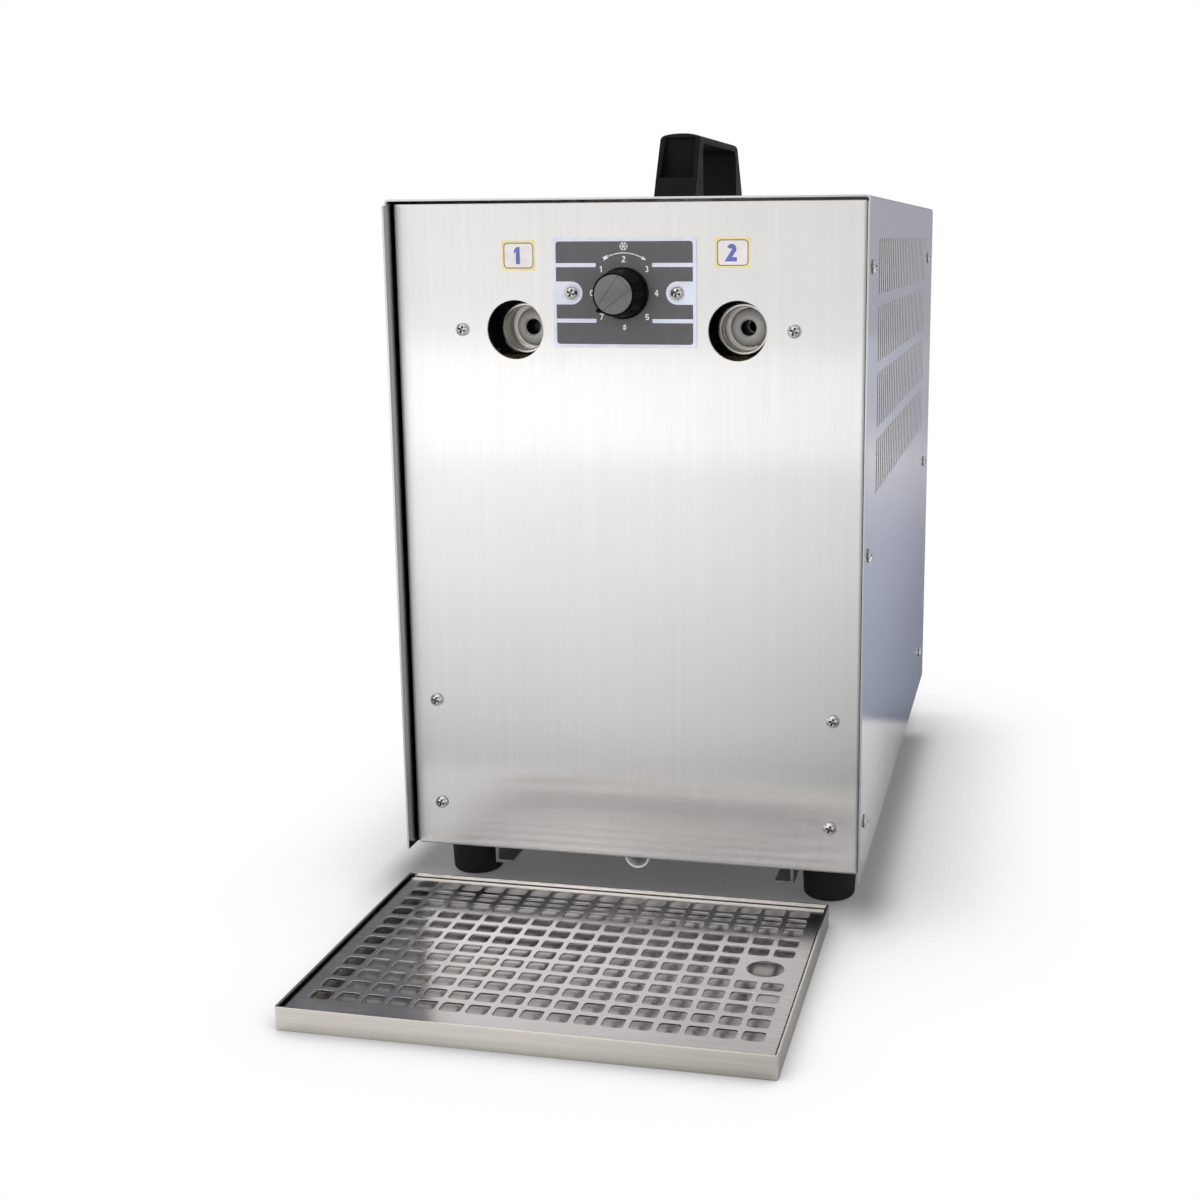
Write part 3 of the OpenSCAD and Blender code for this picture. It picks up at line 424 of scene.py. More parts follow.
def build_bore_shade():
    """A mask of the bore that runs through the middle of a turned piece, from front to back, where painted
    shade makes it near black.
    """
    tree, given, result = new_group("Bore Shade", {"Radius": 0.15}, ["Bore"])
    offset = vector_node(tree, "SUBTRACT", place_on(tree, "Generated"), BOX_MIDDLE)[0]
    across = vector_node(tree, "MULTIPLY", offset, (1.0, 0.0, 1.0))[0]
    from_axis = vector_node(tree, "LENGTH", across)["Value"]
    link(tree, math_node(tree, "LESS_THAN", from_axis, given["Radius"]), result["Bore"])
    return tree


GROUP_BUILDERS = {
    "Brushed Grain": build_brushed_grain,
    "Handling Marks": build_handling_marks,
    "Edge Wear": build_edge_rubbing_and_highlight,
    "Moulded Skin": build_moulded_skin,
    "Settled Dust": build_settled_dust,
    "Sheet Waviness": build_sheet_waviness,
    "Basin Film": build_basin_floor_shade,
    "Cut Edges": build_cut_edges,
    "Inner Wall Shade": build_inner_wall_shade,
    "Crevice Grime": build_crevice_painted_shade,
    "Bore Shade": build_bore_shade,
}


def place_group(tree, name, **values):
    """Puts one of the shared groups in a material, with its own values, and returns its outputs."""
    group = bpy.data.node_groups.get(name) or GROUP_BUILDERS[name]()
    node = tree.nodes.new("ShaderNodeGroup")
    node.node_tree = group
    for label, value in values.items():
        node.inputs[label].default_value = value
    return node.outputs


# Finishes

# Directions of the brushing: noise scales along X, Y and Z, fine and coarse.
UPRIGHT_BRUSH = ((2400, 2400, 10), (260, 260, 2.5))
COVER_BRUSH = ((900, 30, 900), (60, 6, 60))
TRAY_BRUSH = ((12, 1800, 1800), (3, 240, 240))
LATHE_BRUSH = ((60, 3200, 60), (12, 420, 12))

# Sheet metal: shares of grain and streaks in the tone, edges lightened as a painted highlight, and the spread
# of its roughness.
GRAIN_SHARE = 0.55
STREAK_SHARE = 0.45
EDGE_HIGHLIGHT = 1.22
SMOOTHEST = 0.82
ROUGHNESS_SPREAD = 0.35

# Raw metal and painted shade: added roughness, and what is left of a metal's mirror and colour; the colour
# factors are painted shade in deep cut edges, bores, inner walls and crevices.
RAW_ROUGHNESS = 0.4
RAW_METALLIC = 0.1
DEEP_CUT_SHADE = 0.05
BORE_SHADE = 0.01
INSIDE_SHADE = 0.04
BASIN_WALL_SHADE = 0.06
CREVICE_SHADE = 0.03

# Plastics and print: uneven colour and roughness, and what dust adds.
PLASTIC_MOTTLE = 0.18
PLASTIC_ROUGHNESS_SPREAD = 0.14
DUST_COLOUR = (0.42, 0.40, 0.37)
DUST_ROUGHNESS = 1.5
INK_MOTTLE = 0.07
INK_ROUGHNESS_SPREAD = 0.10
INK_RELIEF = 1.6e-6


def even_brush(fine, coarse):
    """Brushing without a direction."""
    return grey(fine), grey(coarse)


def new_material(name):
    """A material with a fresh Principled BSDF. Returns the material, its tree and the shader."""
    material = bpy.data.materials.new(name)
    material.use_nodes = True
    tree = material.node_tree
    tree.nodes.clear()
    output = tree.nodes.new("ShaderNodeOutputMaterial")
    shader = tree.nodes.new("ShaderNodeBsdfPrincipled")
    link(tree, shader.outputs[0], output.inputs["Surface"])
    return material, tree, shader


def relief(tree, shader, *layers, normal=None):
    """Relief on the shader's normal. Each layer is a value and how high it stands, in metres."""
    total = None
    for value, depth in layers:
        part = product(tree, value, depth)
        total = part if total is None else math_node(tree, "ADD", total, part)
    node = tree.nodes.new("ShaderNodeBump")
    node.inputs["Strength"].default_value = 1.0
    node.inputs["Distance"].default_value = 1.0
    link(tree, total, node.inputs["Height"])
    if normal:
        link(tree, normal, node.inputs["Normal"])
    link(tree, node.outputs["Normal"], shader.inputs["Normal"])


def brush_along_height(tree, shader, strength):
    """Stretches reflections across brushing that runs up and down."""
    tangent = tree.nodes.new("ShaderNodeTangent")
    tangent.direction_type = "RADIAL"
    tangent.axis = "Z"
    link(tree, tangent.outputs[0], shader.inputs["Tangent"])
    shader.inputs["Anisotropic"].default_value = strength


def sheet_metal(name, rgb, roughness, brush, grain=0.10, marks=0.08, depth=2.4e-6, upright=0.0, edge_width=0.0006,
                wave=0.0, overlay=None, inner_wall_shade=None, rim=0.0, cut=None, crevice_shade_colour=None, reach=0.0022, bore=0.0,
                metallic=1.0):
    """Brushed or satin metal: grain and streaks in colour, roughness and relief, hand marks, and edges
    lightened as a painted highlight.

    Besides rgb, the colours given are those of low up-looking faces, of inner walls and of recesses, all
    painted shade, and of cut edges; bore is a share of the piece's width, painted near black as shade."""
    material, tree, shader = new_material(name)
    shader.inputs["Metallic"].default_value = metallic
    if upright:
        brush_along_height(tree, shader, upright)
    fine, coarse = brush
    brushed = place_group(tree, "Brushed Grain", Fine=fine, Coarse=coarse)
    edges = place_group(tree, "Edge Wear", Width=edge_width)
    streaks = product(tree, brushed["Streaks"], STREAK_SHARE)
    tone = math_node(tree, "MULTIPLY_ADD", brushed["Grain"], GRAIN_SHARE, streaks)
    body = mix_colour(tree, tone, shade(rgb, 1.0 - grain), shade(rgb, 1.0 + grain))
    # Edges lighter than the body: a painted highlight.
    paint = mix_colour(tree, edges["Wear"], body, shade(rgb, EDGE_HIGHLIGHT))
    spread, smoothest = ROUGHNESS_SPREAD * roughness, SMOOTHEST * roughness
    rough = math_node(tree, "MULTIPLY_ADD", brushed["Grain"], spread, smoothest)
    # Low up-looking faces are darkened as painted shade.
    if overlay:
        paint = mix_colour(tree, place_group(tree, "Basin Film")["Film"], paint, overlay)
    # Inner walls are darkened as painted shade.
    if inner_wall_shade:
        paint = mix_colour(tree, place_group(tree, "Inner Wall Shade", Rim=rim)["Inside"], paint, inner_wall_shade)
    # Recesses are darkened as painted shade, and made rougher.
    if crevice_shade_colour:
        crevice_mask = place_group(tree, "Crevice Grime", Reach=reach)["Grime"]
        paint = mix_colour(tree, crevice_mask, paint, crevice_shade_colour)
        rough = math_node(tree, "MULTIPLY_ADD", crevice_mask, RAW_ROUGHNESS, rough)
    # The bore is painted near black as shade.
    if bore:
        hollow = place_group(tree, "Bore Shade", Radius=bore)["Bore"]
        paint = mix_colour(tree, hollow, paint, shade(rgb, BORE_SHADE))
    if cut:
        sheared = place_group(tree, "Cut Edges")
        paint = mix_colour(tree, sheared["Cut"], paint, cut)
        # The deeper part of the sheared sides is painted near black as shade.
        paint = mix_colour(tree, sheared["Deep Shade"], paint, shade(cut, DEEP_CUT_SHADE))
        rough = math_node(tree, "MULTIPLY_ADD", sheared["Cut"], RAW_ROUGHNESS, rough)
        mirror = map_range(tree, sheared["Cut"], 0.0, 1.0, metallic, RAW_METALLIC)
        link(tree, mirror, shader.inputs["Metallic"])
    handled = place_group(tree, "Handling Marks")["Marks"]
    link(tree, paint, shader.inputs["Base Color"])
    link(tree, math_node(tree, "MULTIPLY_ADD", handled, marks, rough), shader.inputs["Roughness"])
    layers = [(brushed["Grain"], depth)]
    if wave:
        layers.append((place_group(tree, "Sheet Waviness")["Wave"], wave))
    relief(tree, shader, *layers, normal=edges["Round Normal"])
    return material


def moulded(name, rgb, roughness, pits=2600.0, depth=1e-5, dust=0.03, edge_width=0.0004, worn=1.9, gloss=0.5):
    """Moulded plastic, rubber or enamel: fine skin, soft mottling, paler edges and a little dust."""
    material, tree, shader = new_material(name)
    shader.inputs["Specular IOR Level"].default_value = gloss
    skin = place_group(tree, "Moulded Skin", Pits=grey(pits))
    edges = place_group(tree, "Edge Wear", Width=edge_width)
    settled = place_group(tree, "Settled Dust")
    dark, pale = shade(rgb, 1.0 - PLASTIC_MOTTLE), shade(rgb, 1.0 + PLASTIC_MOTTLE)
    body = mix_colour(tree, skin["Mottle"], dark, pale)
    worn_body = mix_colour(tree, edges["Wear"], body, shade(rgb, worn))
    overlay = product(tree, settled["Dust"], dust)
    link(tree, mix_colour(tree, overlay, worn_body, DUST_COLOUR), shader.inputs["Base Color"])
    spread = PLASTIC_ROUGHNESS_SPREAD
    rough = math_node(tree, "MULTIPLY_ADD", skin["Mottle"], spread, roughness - spread / 2)
    link(tree, math_node(tree, "MULTIPLY_ADD", overlay, DUST_ROUGHNESS, rough), shader.inputs["Roughness"])
    relief(tree, shader, (skin["Skin"], depth))
    return material


def printed(name, rgb, roughness=0.42):
    """Screen print or sticker film: a little uneven ink and a faint grain."""
    material, tree, shader = new_material(name)
    skin = place_group(tree, "Moulded Skin", Pits=grey(5200), Clouds=grey(120))
    ink = mix_colour(tree, skin["Mottle"], shade(rgb, 1.0 - INK_MOTTLE), shade(rgb, 1.0 + INK_MOTTLE))
    link(tree, ink, shader.inputs["Base Color"])
    spread = INK_ROUGHNESS_SPREAD
    rough = math_node(tree, "MULTIPLY_ADD", skin["Mottle"], spread, roughness - spread / 2)
    link(tree, rough, shader.inputs["Roughness"])
    relief(tree, shader, (skin["Skin"], INK_RELIEF))
    return material


def finish_nodes(material, *nodes):
    """Gives CAD nodes a material."""
    for name in nodes:
        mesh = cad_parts[name].data
        mesh.materials.clear()
        mesh.materials.append(material)


# Flat print

def new_piece(name, mesh_builder, material, body):
    """An object from a bmesh, riding on a CAD body."""
    mesh = bpy.data.meshes.new(name)
    mesh_builder.to_mesh(mesh)
    mesh_builder.free()
    mesh.materials.append(material)
    piece = bpy.data.objects.new(name, mesh)
    bpy.context.scene.collection.objects.link(piece)
    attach(piece, body)
    return piece


def arc(cx, cz, radius, start, end, steps):
    """Points of an arc, in degrees from +X towards +Z."""
    angles = (math.radians(start + (end - start) * i / steps) for i in range(steps + 1))
    return [(cx + radius * math.cos(a), cz + radius * math.sin(a)) for a in angles]


def circle(cx, cz, radius, steps):
    """Points of a whole circle."""
    return arc(cx, cz, radius, 0, 360, steps)[:-1]


def rounded_box(x0, z0, x1, z1, radius, steps=6):
    """Outline of a rectangle with round corners."""
    left, right, low, high = x0 + radius, x1 - radius, z0 + radius, z1 - radius
    return (arc(right, high, radius, 0, 90, steps) + arc(left, high, radius, 90, 180, steps)
            + arc(left, low, radius, 180, 270, steps) + arc(right, low, radius, 270, 360, steps))


def turned_outline(points, angle, cx, cz):
    """Turns an outline by an angle in degrees about its origin and moves it."""
    c, s = math.cos(math.radians(angle)), math.sin(math.radians(angle))
    return [(cx + x * c - z * s, cz + x * s + z * c) for x, z in points]


def film_piece(name, shapes, front, thickness, material, body):
    """A piece of print: shapes, each an outline and its holes, that stand thickness proud of y = front."""
    bm = bmesh.new()
    for loops in shapes:
        one = bmesh.new()
        edges = []
        for loop in loops:
            ring = [one.verts.new((x, front, z)) for x, z in loop]
            edges += [one.edges.new((ring[i - 1], ring[i])) for i in range(len(ring))]
        bmesh.ops.triangle_fill(one, use_beauty=True, use_dissolve=False, edges=edges, normal=(0, -1, 0))
        pushed = bmesh.ops.extrude_face_region(one, geom=one.faces[:])
        top = [item for item in pushed["geom"] if isinstance(item, bmesh.types.BMVert)]
        bmesh.ops.translate(one, vec=(0, -thickness, 0), verts=top)
        bmesh.ops.recalc_face_normals(one, faces=one.faces)
        mesh = bpy.data.meshes.new("overlay")
        one.to_mesh(mesh)
        one.free()
        bm.from_mesh(mesh)
        bpy.data.meshes.remove(mesh)
    return new_piece(name, bm, material, body)


def stroke(points, width):
    """Outline of a line of even width through points, with mitred corners."""
    least_mitre = 0.45
    left, right = [], []
    for i, (x, z) in enumerate(points):
        before = Vector((x, z)) - Vector(points[i - 1]) if i else None
        after = Vector(points[i + 1]) - Vector((x, z)) if i + 1 < len(points) else None
        run = [step.normalized() for step in (before, after) if step is not None]
        middle = (run[0] + run[-1]).normalized()
        reach = width / 2 / max(least_mitre, middle.dot(run[0]))
        left.append((x - middle.y * reach, z + middle.x * reach))
        right.append((x + middle.y * reach, z - middle.x * reach))
    return left + right[::-1]


# Plain numerals 0 to 7, each in a box 0.62 wide and 1 high and drawn with lines of width w. A numeral is a
# list of shapes, and a shape is an outline and its holes.

NUMERAL_MIDDLE = 0.31


def draw_nought(w):
    """An upright oval ring."""
    def oval(radius):
        return (arc(NUMERAL_MIDDLE, 0.69, radius, 0, 180, 14)
                + arc(NUMERAL_MIDDLE, NUMERAL_MIDDLE, radius, 180, 360, 14))
    return [[oval(NUMERAL_MIDDLE), oval(NUMERAL_MIDDLE - w)]]


def draw_one(w):
    """A stem with a slanting flag."""
    right, flag, flag_top = 0.46, 0.10, 0.80
    stem = right - w
    return [[[(right, 0), (right, 1), (right - 0.8 * w, 1), (flag, flag_top), (flag, flag_top - w),
              (stem, 0.90 - w * 0.6), (stem, 0)]]]


def draw_two(w):
    """A hook that runs down to a flat foot."""
    h = w / 2
    hook = arc(NUMERAL_MIDDLE, 0.72, 0.28 - h, 165, -35, 12)
    return [[stroke(hook + [(h * 0.9, h), (0.62, h)], w)]]


def draw_three(w):
    """Two bowls, the lower one larger."""
    h = w / 2
    upper = arc(0.30, 0.745, 0.255 - h, 150, -75, 12)
    lower = arc(0.30, 0.29, 0.29 - h, 85, -150, 12)
    return [[stroke(upper, w)], [stroke(lower, w)]]


def draw_four(w):
    """A stem with a bar, and a slope that leaves a hole."""
    right, bar, bar_end = 0.52, 0.22, 0.64
    stem, bar_top = right - w, bar + w
    outline = [(right, 0), (right, bar), (bar_end, bar), (bar_end, bar_top), (right, bar_top), (right, 1),
               (right - w * 1.05, 1), (0, bar_top), (0, bar), (stem, bar), (stem, 0)]
    return [[outline, [(stem, bar_top), (stem, 0.80), (w * 0.85, bar_top)]]]


def draw_five(w):
    """A flag and a stem on a bowl."""
    h = w / 2
    bowl = arc(0.30, 0.32, 0.32 - h, 138, -148, 14)
    return [[stroke([(0.58, 1 - h), (0.12, 1 - h), (0.09, 0.50)] + bowl, w)]]


def draw_six(w):
    """A ring with a curved tail."""
    h, radius = w / 2, 0.30
    ring = [circle(NUMERAL_MIDDLE, radius, size, 24) for size in (radius, radius - w)]
    tail = arc(0.43, 0.42, 0.42 - h, 74, 180, 10) + [(0.01 + h, radius)]
    return [ring, [stroke(tail, w)]]


def draw_seven(w):
    """A flat top on a slanting stem."""
    h = w / 2
    return [[stroke([(0, 1 - h), (0.58, 1 - h), (0.20, 0)], w)]]


NUMERALS = (draw_nought, draw_one, draw_two, draw_three, draw_four, draw_five, draw_six, draw_seven)


def numeral_shapes(digit, height, cx, cz, line):
    """A numeral's shapes at its size and place. The line's width is a share of the height."""
    def placed(loop):
        return [(cx + (x - NUMERAL_MIDDLE) * height, cz + (z - 0.5) * height) for x, z in loop]
    return [[placed(loop) for loop in loops] for loops in NUMERALS[digit](line)]


# Metal and plastic pieces

class COOLER_OT_case(bpy.types.Operator):
    """Finishes the sheet metal of the case"""
    bl_idname = "cooler.case"
    bl_label = "Case"

    def execute(self, context):
        metal = context.scene.cooler_metal
        panel = sheet_metal("brushed_panel", metal.panel, metal.panel_roughness, UPRIGHT_BRUSH, grain=0.03,
                            marks=0.02, depth=1.6e-6, upright=1.0, wave=5e-5)
        # The cover's inner walls get painted shade, half as strong on the front rim.
        cover = sheet_metal("satin_cover", metal.cover, metal.cover_roughness, COVER_BRUSH, grain=0.03,
                            marks=0.05, depth=6e-7, wave=3e-5, rim=COVER_RIM, cut=metal.cut,
                            inner_wall_shade=shade(metal.cover, INSIDE_SHADE))
        pan = sheet_metal("galvanised_pan", metal.pan, roughness=0.38, brush=even_brush(240, 40), grain=0.12,
                          marks=0.10)
        finish_nodes(panel, "front_panel", "rear_panel")
        finish_nodes(cover, "wrap_cover")
        finish_nodes(pan, "base_pan", "condenser_frame", "fan_strap", "runner_left", "runner_right")
        return {"FINISHED"}


class COOLER_OT_fasteners(bpy.types.Operator):
    """Finishes the screws"""
    bl_idname = "cooler.fasteners"
    bl_label = "Screws"

    def execute(self, context):
        colour_of_zinc = context.scene.cooler_metal.screw
        # The screws get painted shade in their recesses.
        zinc = sheet_metal("zinc_screw", colour_of_zinc, roughness=0.11, brush=even_brush(1500, 300),
                           grain=0.05, marks=0.03, depth=4e-7, edge_width=0.0004,
                           crevice_shade_colour=shade(colour_of_zinc, CREVICE_SHADE))
        finish_nodes(zinc, "handle_screws", "foot_screws", "front_panel_screws", "cover_screws",
                     "rear_panel_screws", "dial_plate_screws")
        return {"FINISHED"}


class COOLER_OT_ports(bpy.types.Operator):
    """Finishes the tap sockets, noses, inlet stubs and beer lines"""
    bl_idname = "cooler.ports"
    bl_label = "Ports and lines"

    def execute(self, context):
        metal = context.scene.cooler_metal
        turned = sheet_metal("turned_steel", metal.turned, roughness=0.20, brush=LATHE_BRUSH, grain=0.14,
                             marks=0.06, depth=4e-6, edge_width=0.0004)
        # The noses get painted shade in their recesses and a bore painted near black as shade.
        satin = sheet_metal("satin_nose", metal.nose, roughness=0.42, brush=LATHE_BRUSH, grain=0.03,
                            marks=0.06, depth=2e-6, edge_width=0.0004, metallic=0.25, reach=0.0016,
                            bore=NOSE_BORE, crevice_shade_colour=shade(metal.nose, CREVICE_SHADE))
        finish_nodes(turned, "tap_socket_1", "tap_socket_2", "socket_nut_1", "socket_nut_2", "inlet_stub_1",
                     "inlet_stub_2", "inlet_nut_1", "inlet_nut_2", "thermostat_spindle", "outlet_line_1",
                     "outlet_line_2", "inlet_line_1", "inlet_line_2")
        finish_nodes(satin, "tap_nose_1", "tap_nose_2")
        return {"FINISHED"}


class COOLER_OT_plastics(bpy.types.Operator):
    """Finishes the handle, knob, feet and inner plastic pieces"""
    bl_idname = "cooler.plastics"
    bl_label = "Plastic and rubber"

    def execute(self, context):
        plastic = context.scene.cooler_plastic
        black = moulded("moulded_handle", plastic.handle, roughness=0.46, dust=0.006, gloss=0.07)
        knob = moulded("moulded_knob", plastic.knob, roughness=0.34, depth=5e-6, gloss=0.02)
        cap = moulded("satin_cap", plastic.cap, roughness=0.40, pits=4200, depth=4e-6, worn=1.3)
        rubber = moulded("dull_rubber", plastic.rubber, roughness=0.66, pits=1500, depth=1.4e-5, dust=0.08,
                         gloss=0.25)
        white = moulded("white_moulding", plastic.white, roughness=0.42, worn=1.08)
        finish_nodes(black, "carry_handle", "fan_shroud", "cable_gland")
        finish_nodes(knob, "knob")
        finish_nodes(cap, "knob_cap")
        finish_nodes(rubber, "foot_front_left", "foot_front_right", "foot_rear_left", "foot_rear_right",
                     "compressor_grommets")
        finish_nodes(white, "thermostat", "relay_cover", "fan_rotor", "drain_spout")
        return {"FINISHED"}


class COOLER_OT_works(bpy.types.Operator):
    """Finishes the cold block, foam, compressor, condenser and pipes"""
    bl_idname = "cooler.works"
    bl_label = "Cooling works"

    def execute(self, context):
        metal, plastic = context.scene.cooler_metal, context.scene.cooler_plastic
        cast = sheet_metal("cast_aluminium", metal.aluminium, roughness=0.42, brush=even_brush(420, 50),
                           grain=0.12, depth=6e-6)
        copper = sheet_metal("drawn_copper", metal.copper, roughness=0.28, brush=even_brush(500, 70),
                             grain=0.18, marks=0.14)
        foam = moulded("foam_skin", plastic.foam, roughness=0.75, pits=700, depth=2.4e-5, worn=1.1)
        enamel = moulded("black_enamel", plastic.enamel, roughness=0.28, pits=900, depth=6e-6, dust=0.12)
        finish_nodes(cast, "cold_block", "condenser_fins")
        finish_nodes(copper, "discharge_line", "suction_line", "liquid_line", "filter_drier",
                     "condenser_coil")
        finish_nodes(foam, "foam_box", "foam_lid")
        # The port bridge is black so that the tap holes show painted shade round the sockets.
        finish_nodes(enamel, "compressor", "fan_motor", "port_bridge")
        return {"FINISHED"}


class COOLER_OT_tray(bpy.types.Operator):
    """Finishes the drip tray and its punched grille"""
    bl_idname = "cooler.tray"
    bl_label = "Drip tray"

    def execute(self, context):
        metal = context.scene.cooler_metal
        # The tray's floor and its inner walls get painted shade.
        tray = sheet_metal("tray_sheet", metal.tray, roughness=0.16, brush=TRAY_BRUSH, grain=0.08, marks=0.12,
                           overlay=metal.basin, inner_wall_shade=shade(metal.basin, BASIN_WALL_SHADE))
        grille = sheet_metal("grille_sheet", metal.grille, roughness=0.17, brush=TRAY_BRUSH, grain=0.08,
                             marks=0.12)
        finish_nodes(tray, "drip_tray")
        finish_nodes(grille, "drip_grille", "grille_edges")
        return {"FINISHED"}


# Dial print

DIAL_INK = 0.03 * MM
DIAL_RIM = 2.1 * MM
DIAL_CORNER = 1.8 * MM
DIAL_FIELD_ROUGHNESS = 0.36
SPINDLE_HOLE_RADIUS = 5.2 * MM

# Bars reach a little over the field's edge. Tongues surround the plate's screws.
BAR_HALF = 1.18 * MM
BAR_INNER_END = 17.0 * MM
BAR_CORNER = 0.35 * MM
BAR_OVERLAP = 0.3 * MM
SCREW_OFFSET = 32.0 * MM
TONGUE_HALF = 6.7 * MM

NUMBER_LINE = 0.18

# The arrow's ends are angles in degrees from +X. Its head and tail are outlines that point along +X.
ARROW_HALF_LINE = 0.22 * MM
ARROW_START, ARROW_END = 60, 116
ARROW_HEAD = [(2.7 * MM, 0), (-0.4 * MM, 1.15 * MM), (0.1 * MM, 0), (-0.4 * MM, -1.15 * MM)]
ARROW_HEAD_PLACE, ARROW_HEAD_TURN = 61, -29
ARROW_TAIL = [(1.6 * MM, 0), (0.6 * MM, 0.95 * MM), (-2.4 * MM, 0.95 * MM), (-1.4 * MM, 0),
              (-2.4 * MM, -0.95 * MM), (0.6 * MM, -0.95 * MM)]
ARROW_TAIL_PLACE, ARROW_TAIL_TURN = 117, 27

# The snow crystal has six arms, each with two branches.
CRYSTAL_OFFSET = 27.0 * MM
CRYSTAL_HALF_LINE = 0.24 * MM
ARM_START, ARM_END = 0.15 * MM, 2.5 * MM
BRANCH_START, BRANCH_LENGTH = 1.45 * MM, 1.15 * MM
BRANCH_HALF_LINE = 0.8 * CRYSTAL_HALF_LINE
BRANCH_LEAN = 50


def strip(start, end, half):
    """Outline of a straight strip along +X."""
    return [(start, -half), (end, -half), (end, half), (start, half)]


class COOLER_OT_dial(bpy.types.Operator):
    """Prints the dial plate: dark field, bars, numbers, arrow and a snow crystal"""
    bl_idname = "cooler.dial"
    bl_label = "Dial print"

    def execute(self, context):
        look = context.scene.cooler_print
        self.cx, self.cz = (DIAL_LOW.x + DIAL_HIGH.x) / 2, (DIAL_LOW.z + DIAL_HIGH.z) / 2
        self.half_w = (DIAL_HIGH.x - DIAL_LOW.x) / 2 - DIAL_RIM
        self.half_h = (DIAL_HIGH.z - DIAL_LOW.z) / 2 - DIAL_RIM
        border = printed("dial_border", look.border)
        field = printed("dial_field", look.field, DIAL_FIELD_ROUGHNESS)
        mark = printed("dial_mark", look.mark)
        finish_nodes(border, "dial_plate")
        self.lay("dial_dark_field", self.field_shapes(), field, DIAL_LOW.y)
        over_field = DIAL_LOW.y - DIAL_INK
        self.lay("dial_bars", self.bar_shapes(look), border, over_field)
        self.lay("dial_numbers", self.number_shapes(look), mark, over_field)
        self.lay("dial_arrow", self.arrow_shapes(look), mark, over_field)
        self.lay("dial_snow_crystal", self.crystal_shapes(), mark, over_field)
        return {"FINISHED"}

    def lay(self, name, shapes, material, front):
        film_piece(name, shapes, front, DIAL_INK, material, "cooler")

    def field_shapes(self):
        box = rounded_box(self.cx - self.half_w, self.cz - self.half_h, self.cx + self.half_w,
                          self.cz + self.half_h, DIAL_CORNER)
        return [[box, circle(self.cx, self.cz, SPINDLE_HOLE_RADIUS, steps=40)]]

    def bar_shapes(self, look):
        shapes = []
        outer = self.half_w + BAR_OVERLAP
        round_end = arc(SCREW_OFFSET, 0.0, TONGUE_HALF, 90, 270, steps=20)
        tongue = [(outer, -TONGUE_HALF), (outer, TONGUE_HALF)] + round_end
        for side in (-1, 1):
            x0, x1 = sorted((self.cx + side * outer, self.cx + side * BAR_INNER_END))
            for up in (-1, 1):
                middle = self.cz + up * look.bar_offset
                low, high = middle - BAR_HALF, middle + BAR_HALF
                shapes.append([rounded_box(x0, low, x1, high, BAR_CORNER, steps=3)])
            shapes.append([[(self.cx + side * x, self.cz + z) for x, z in tongue]])
        return shapes

    def number_shapes(self, look):
        shapes = []
        for i in range(look.numbers):
            angle = math.pi - i * 2 * math.pi / look.numbers
            x = self.cx + look.number_radius * math.cos(angle)
            z = self.cz + look.number_radius * math.sin(angle)
            shapes += numeral_shapes(i, look.number_height, x, z, NUMBER_LINE)
        return shapes

    def arrow_shapes(self, look):
        outer, inner = look.arrow_radius + ARROW_HALF_LINE, look.arrow_radius - ARROW_HALF_LINE
        sweep = (arc(self.cx, self.cz, outer, ARROW_START, ARROW_END, steps=28)
                 + arc(self.cx, self.cz, inner, ARROW_END, ARROW_START, steps=28))
        shapes = [[sweep]]
        for outline, place, lean in ((ARROW_HEAD, ARROW_HEAD_PLACE, ARROW_HEAD_TURN),
                                     (ARROW_TAIL, ARROW_TAIL_PLACE, ARROW_TAIL_TURN)):
            point = arc(self.cx, self.cz, look.arrow_radius, place, place, steps=1)[0]
            shapes.append([turned_outline(outline, lean, *point)])
        return shapes

    def crystal_shapes(self):
        shapes = []
        middle = (self.cx, self.cz + CRYSTAL_OFFSET)
        arm = strip(ARM_START, ARM_END, CRYSTAL_HALF_LINE)
        branch = strip(0, BRANCH_LENGTH, BRANCH_HALF_LINE)
        for angle in range(0, 360, 60):
            shapes.append([turned_outline(arm, angle, *middle)])
            root = turned_outline([(BRANCH_START, 0)], angle, *middle)[0]
            for lean in (BRANCH_LEAN, -BRANCH_LEAN):
                shapes.append([turned_outline(branch, angle + lean, *root)])
        return shapes


# Knob lines

KNOB_POINTS_TO = -135.0
KNOB_NARROW, KNOB_WIDE = 1.9 * MM, 5.5 * MM
KNOB_HALF_LINE = 0.16 * MM
KNOB_LINE_REACH = 0.985
KNOB_CUT_PLACE, KNOB_CUT_WIDTH = 0.80, 0.3 * MM
KNOB_INK = 0.02 * MM
GROOVE_SHADE = 0.25


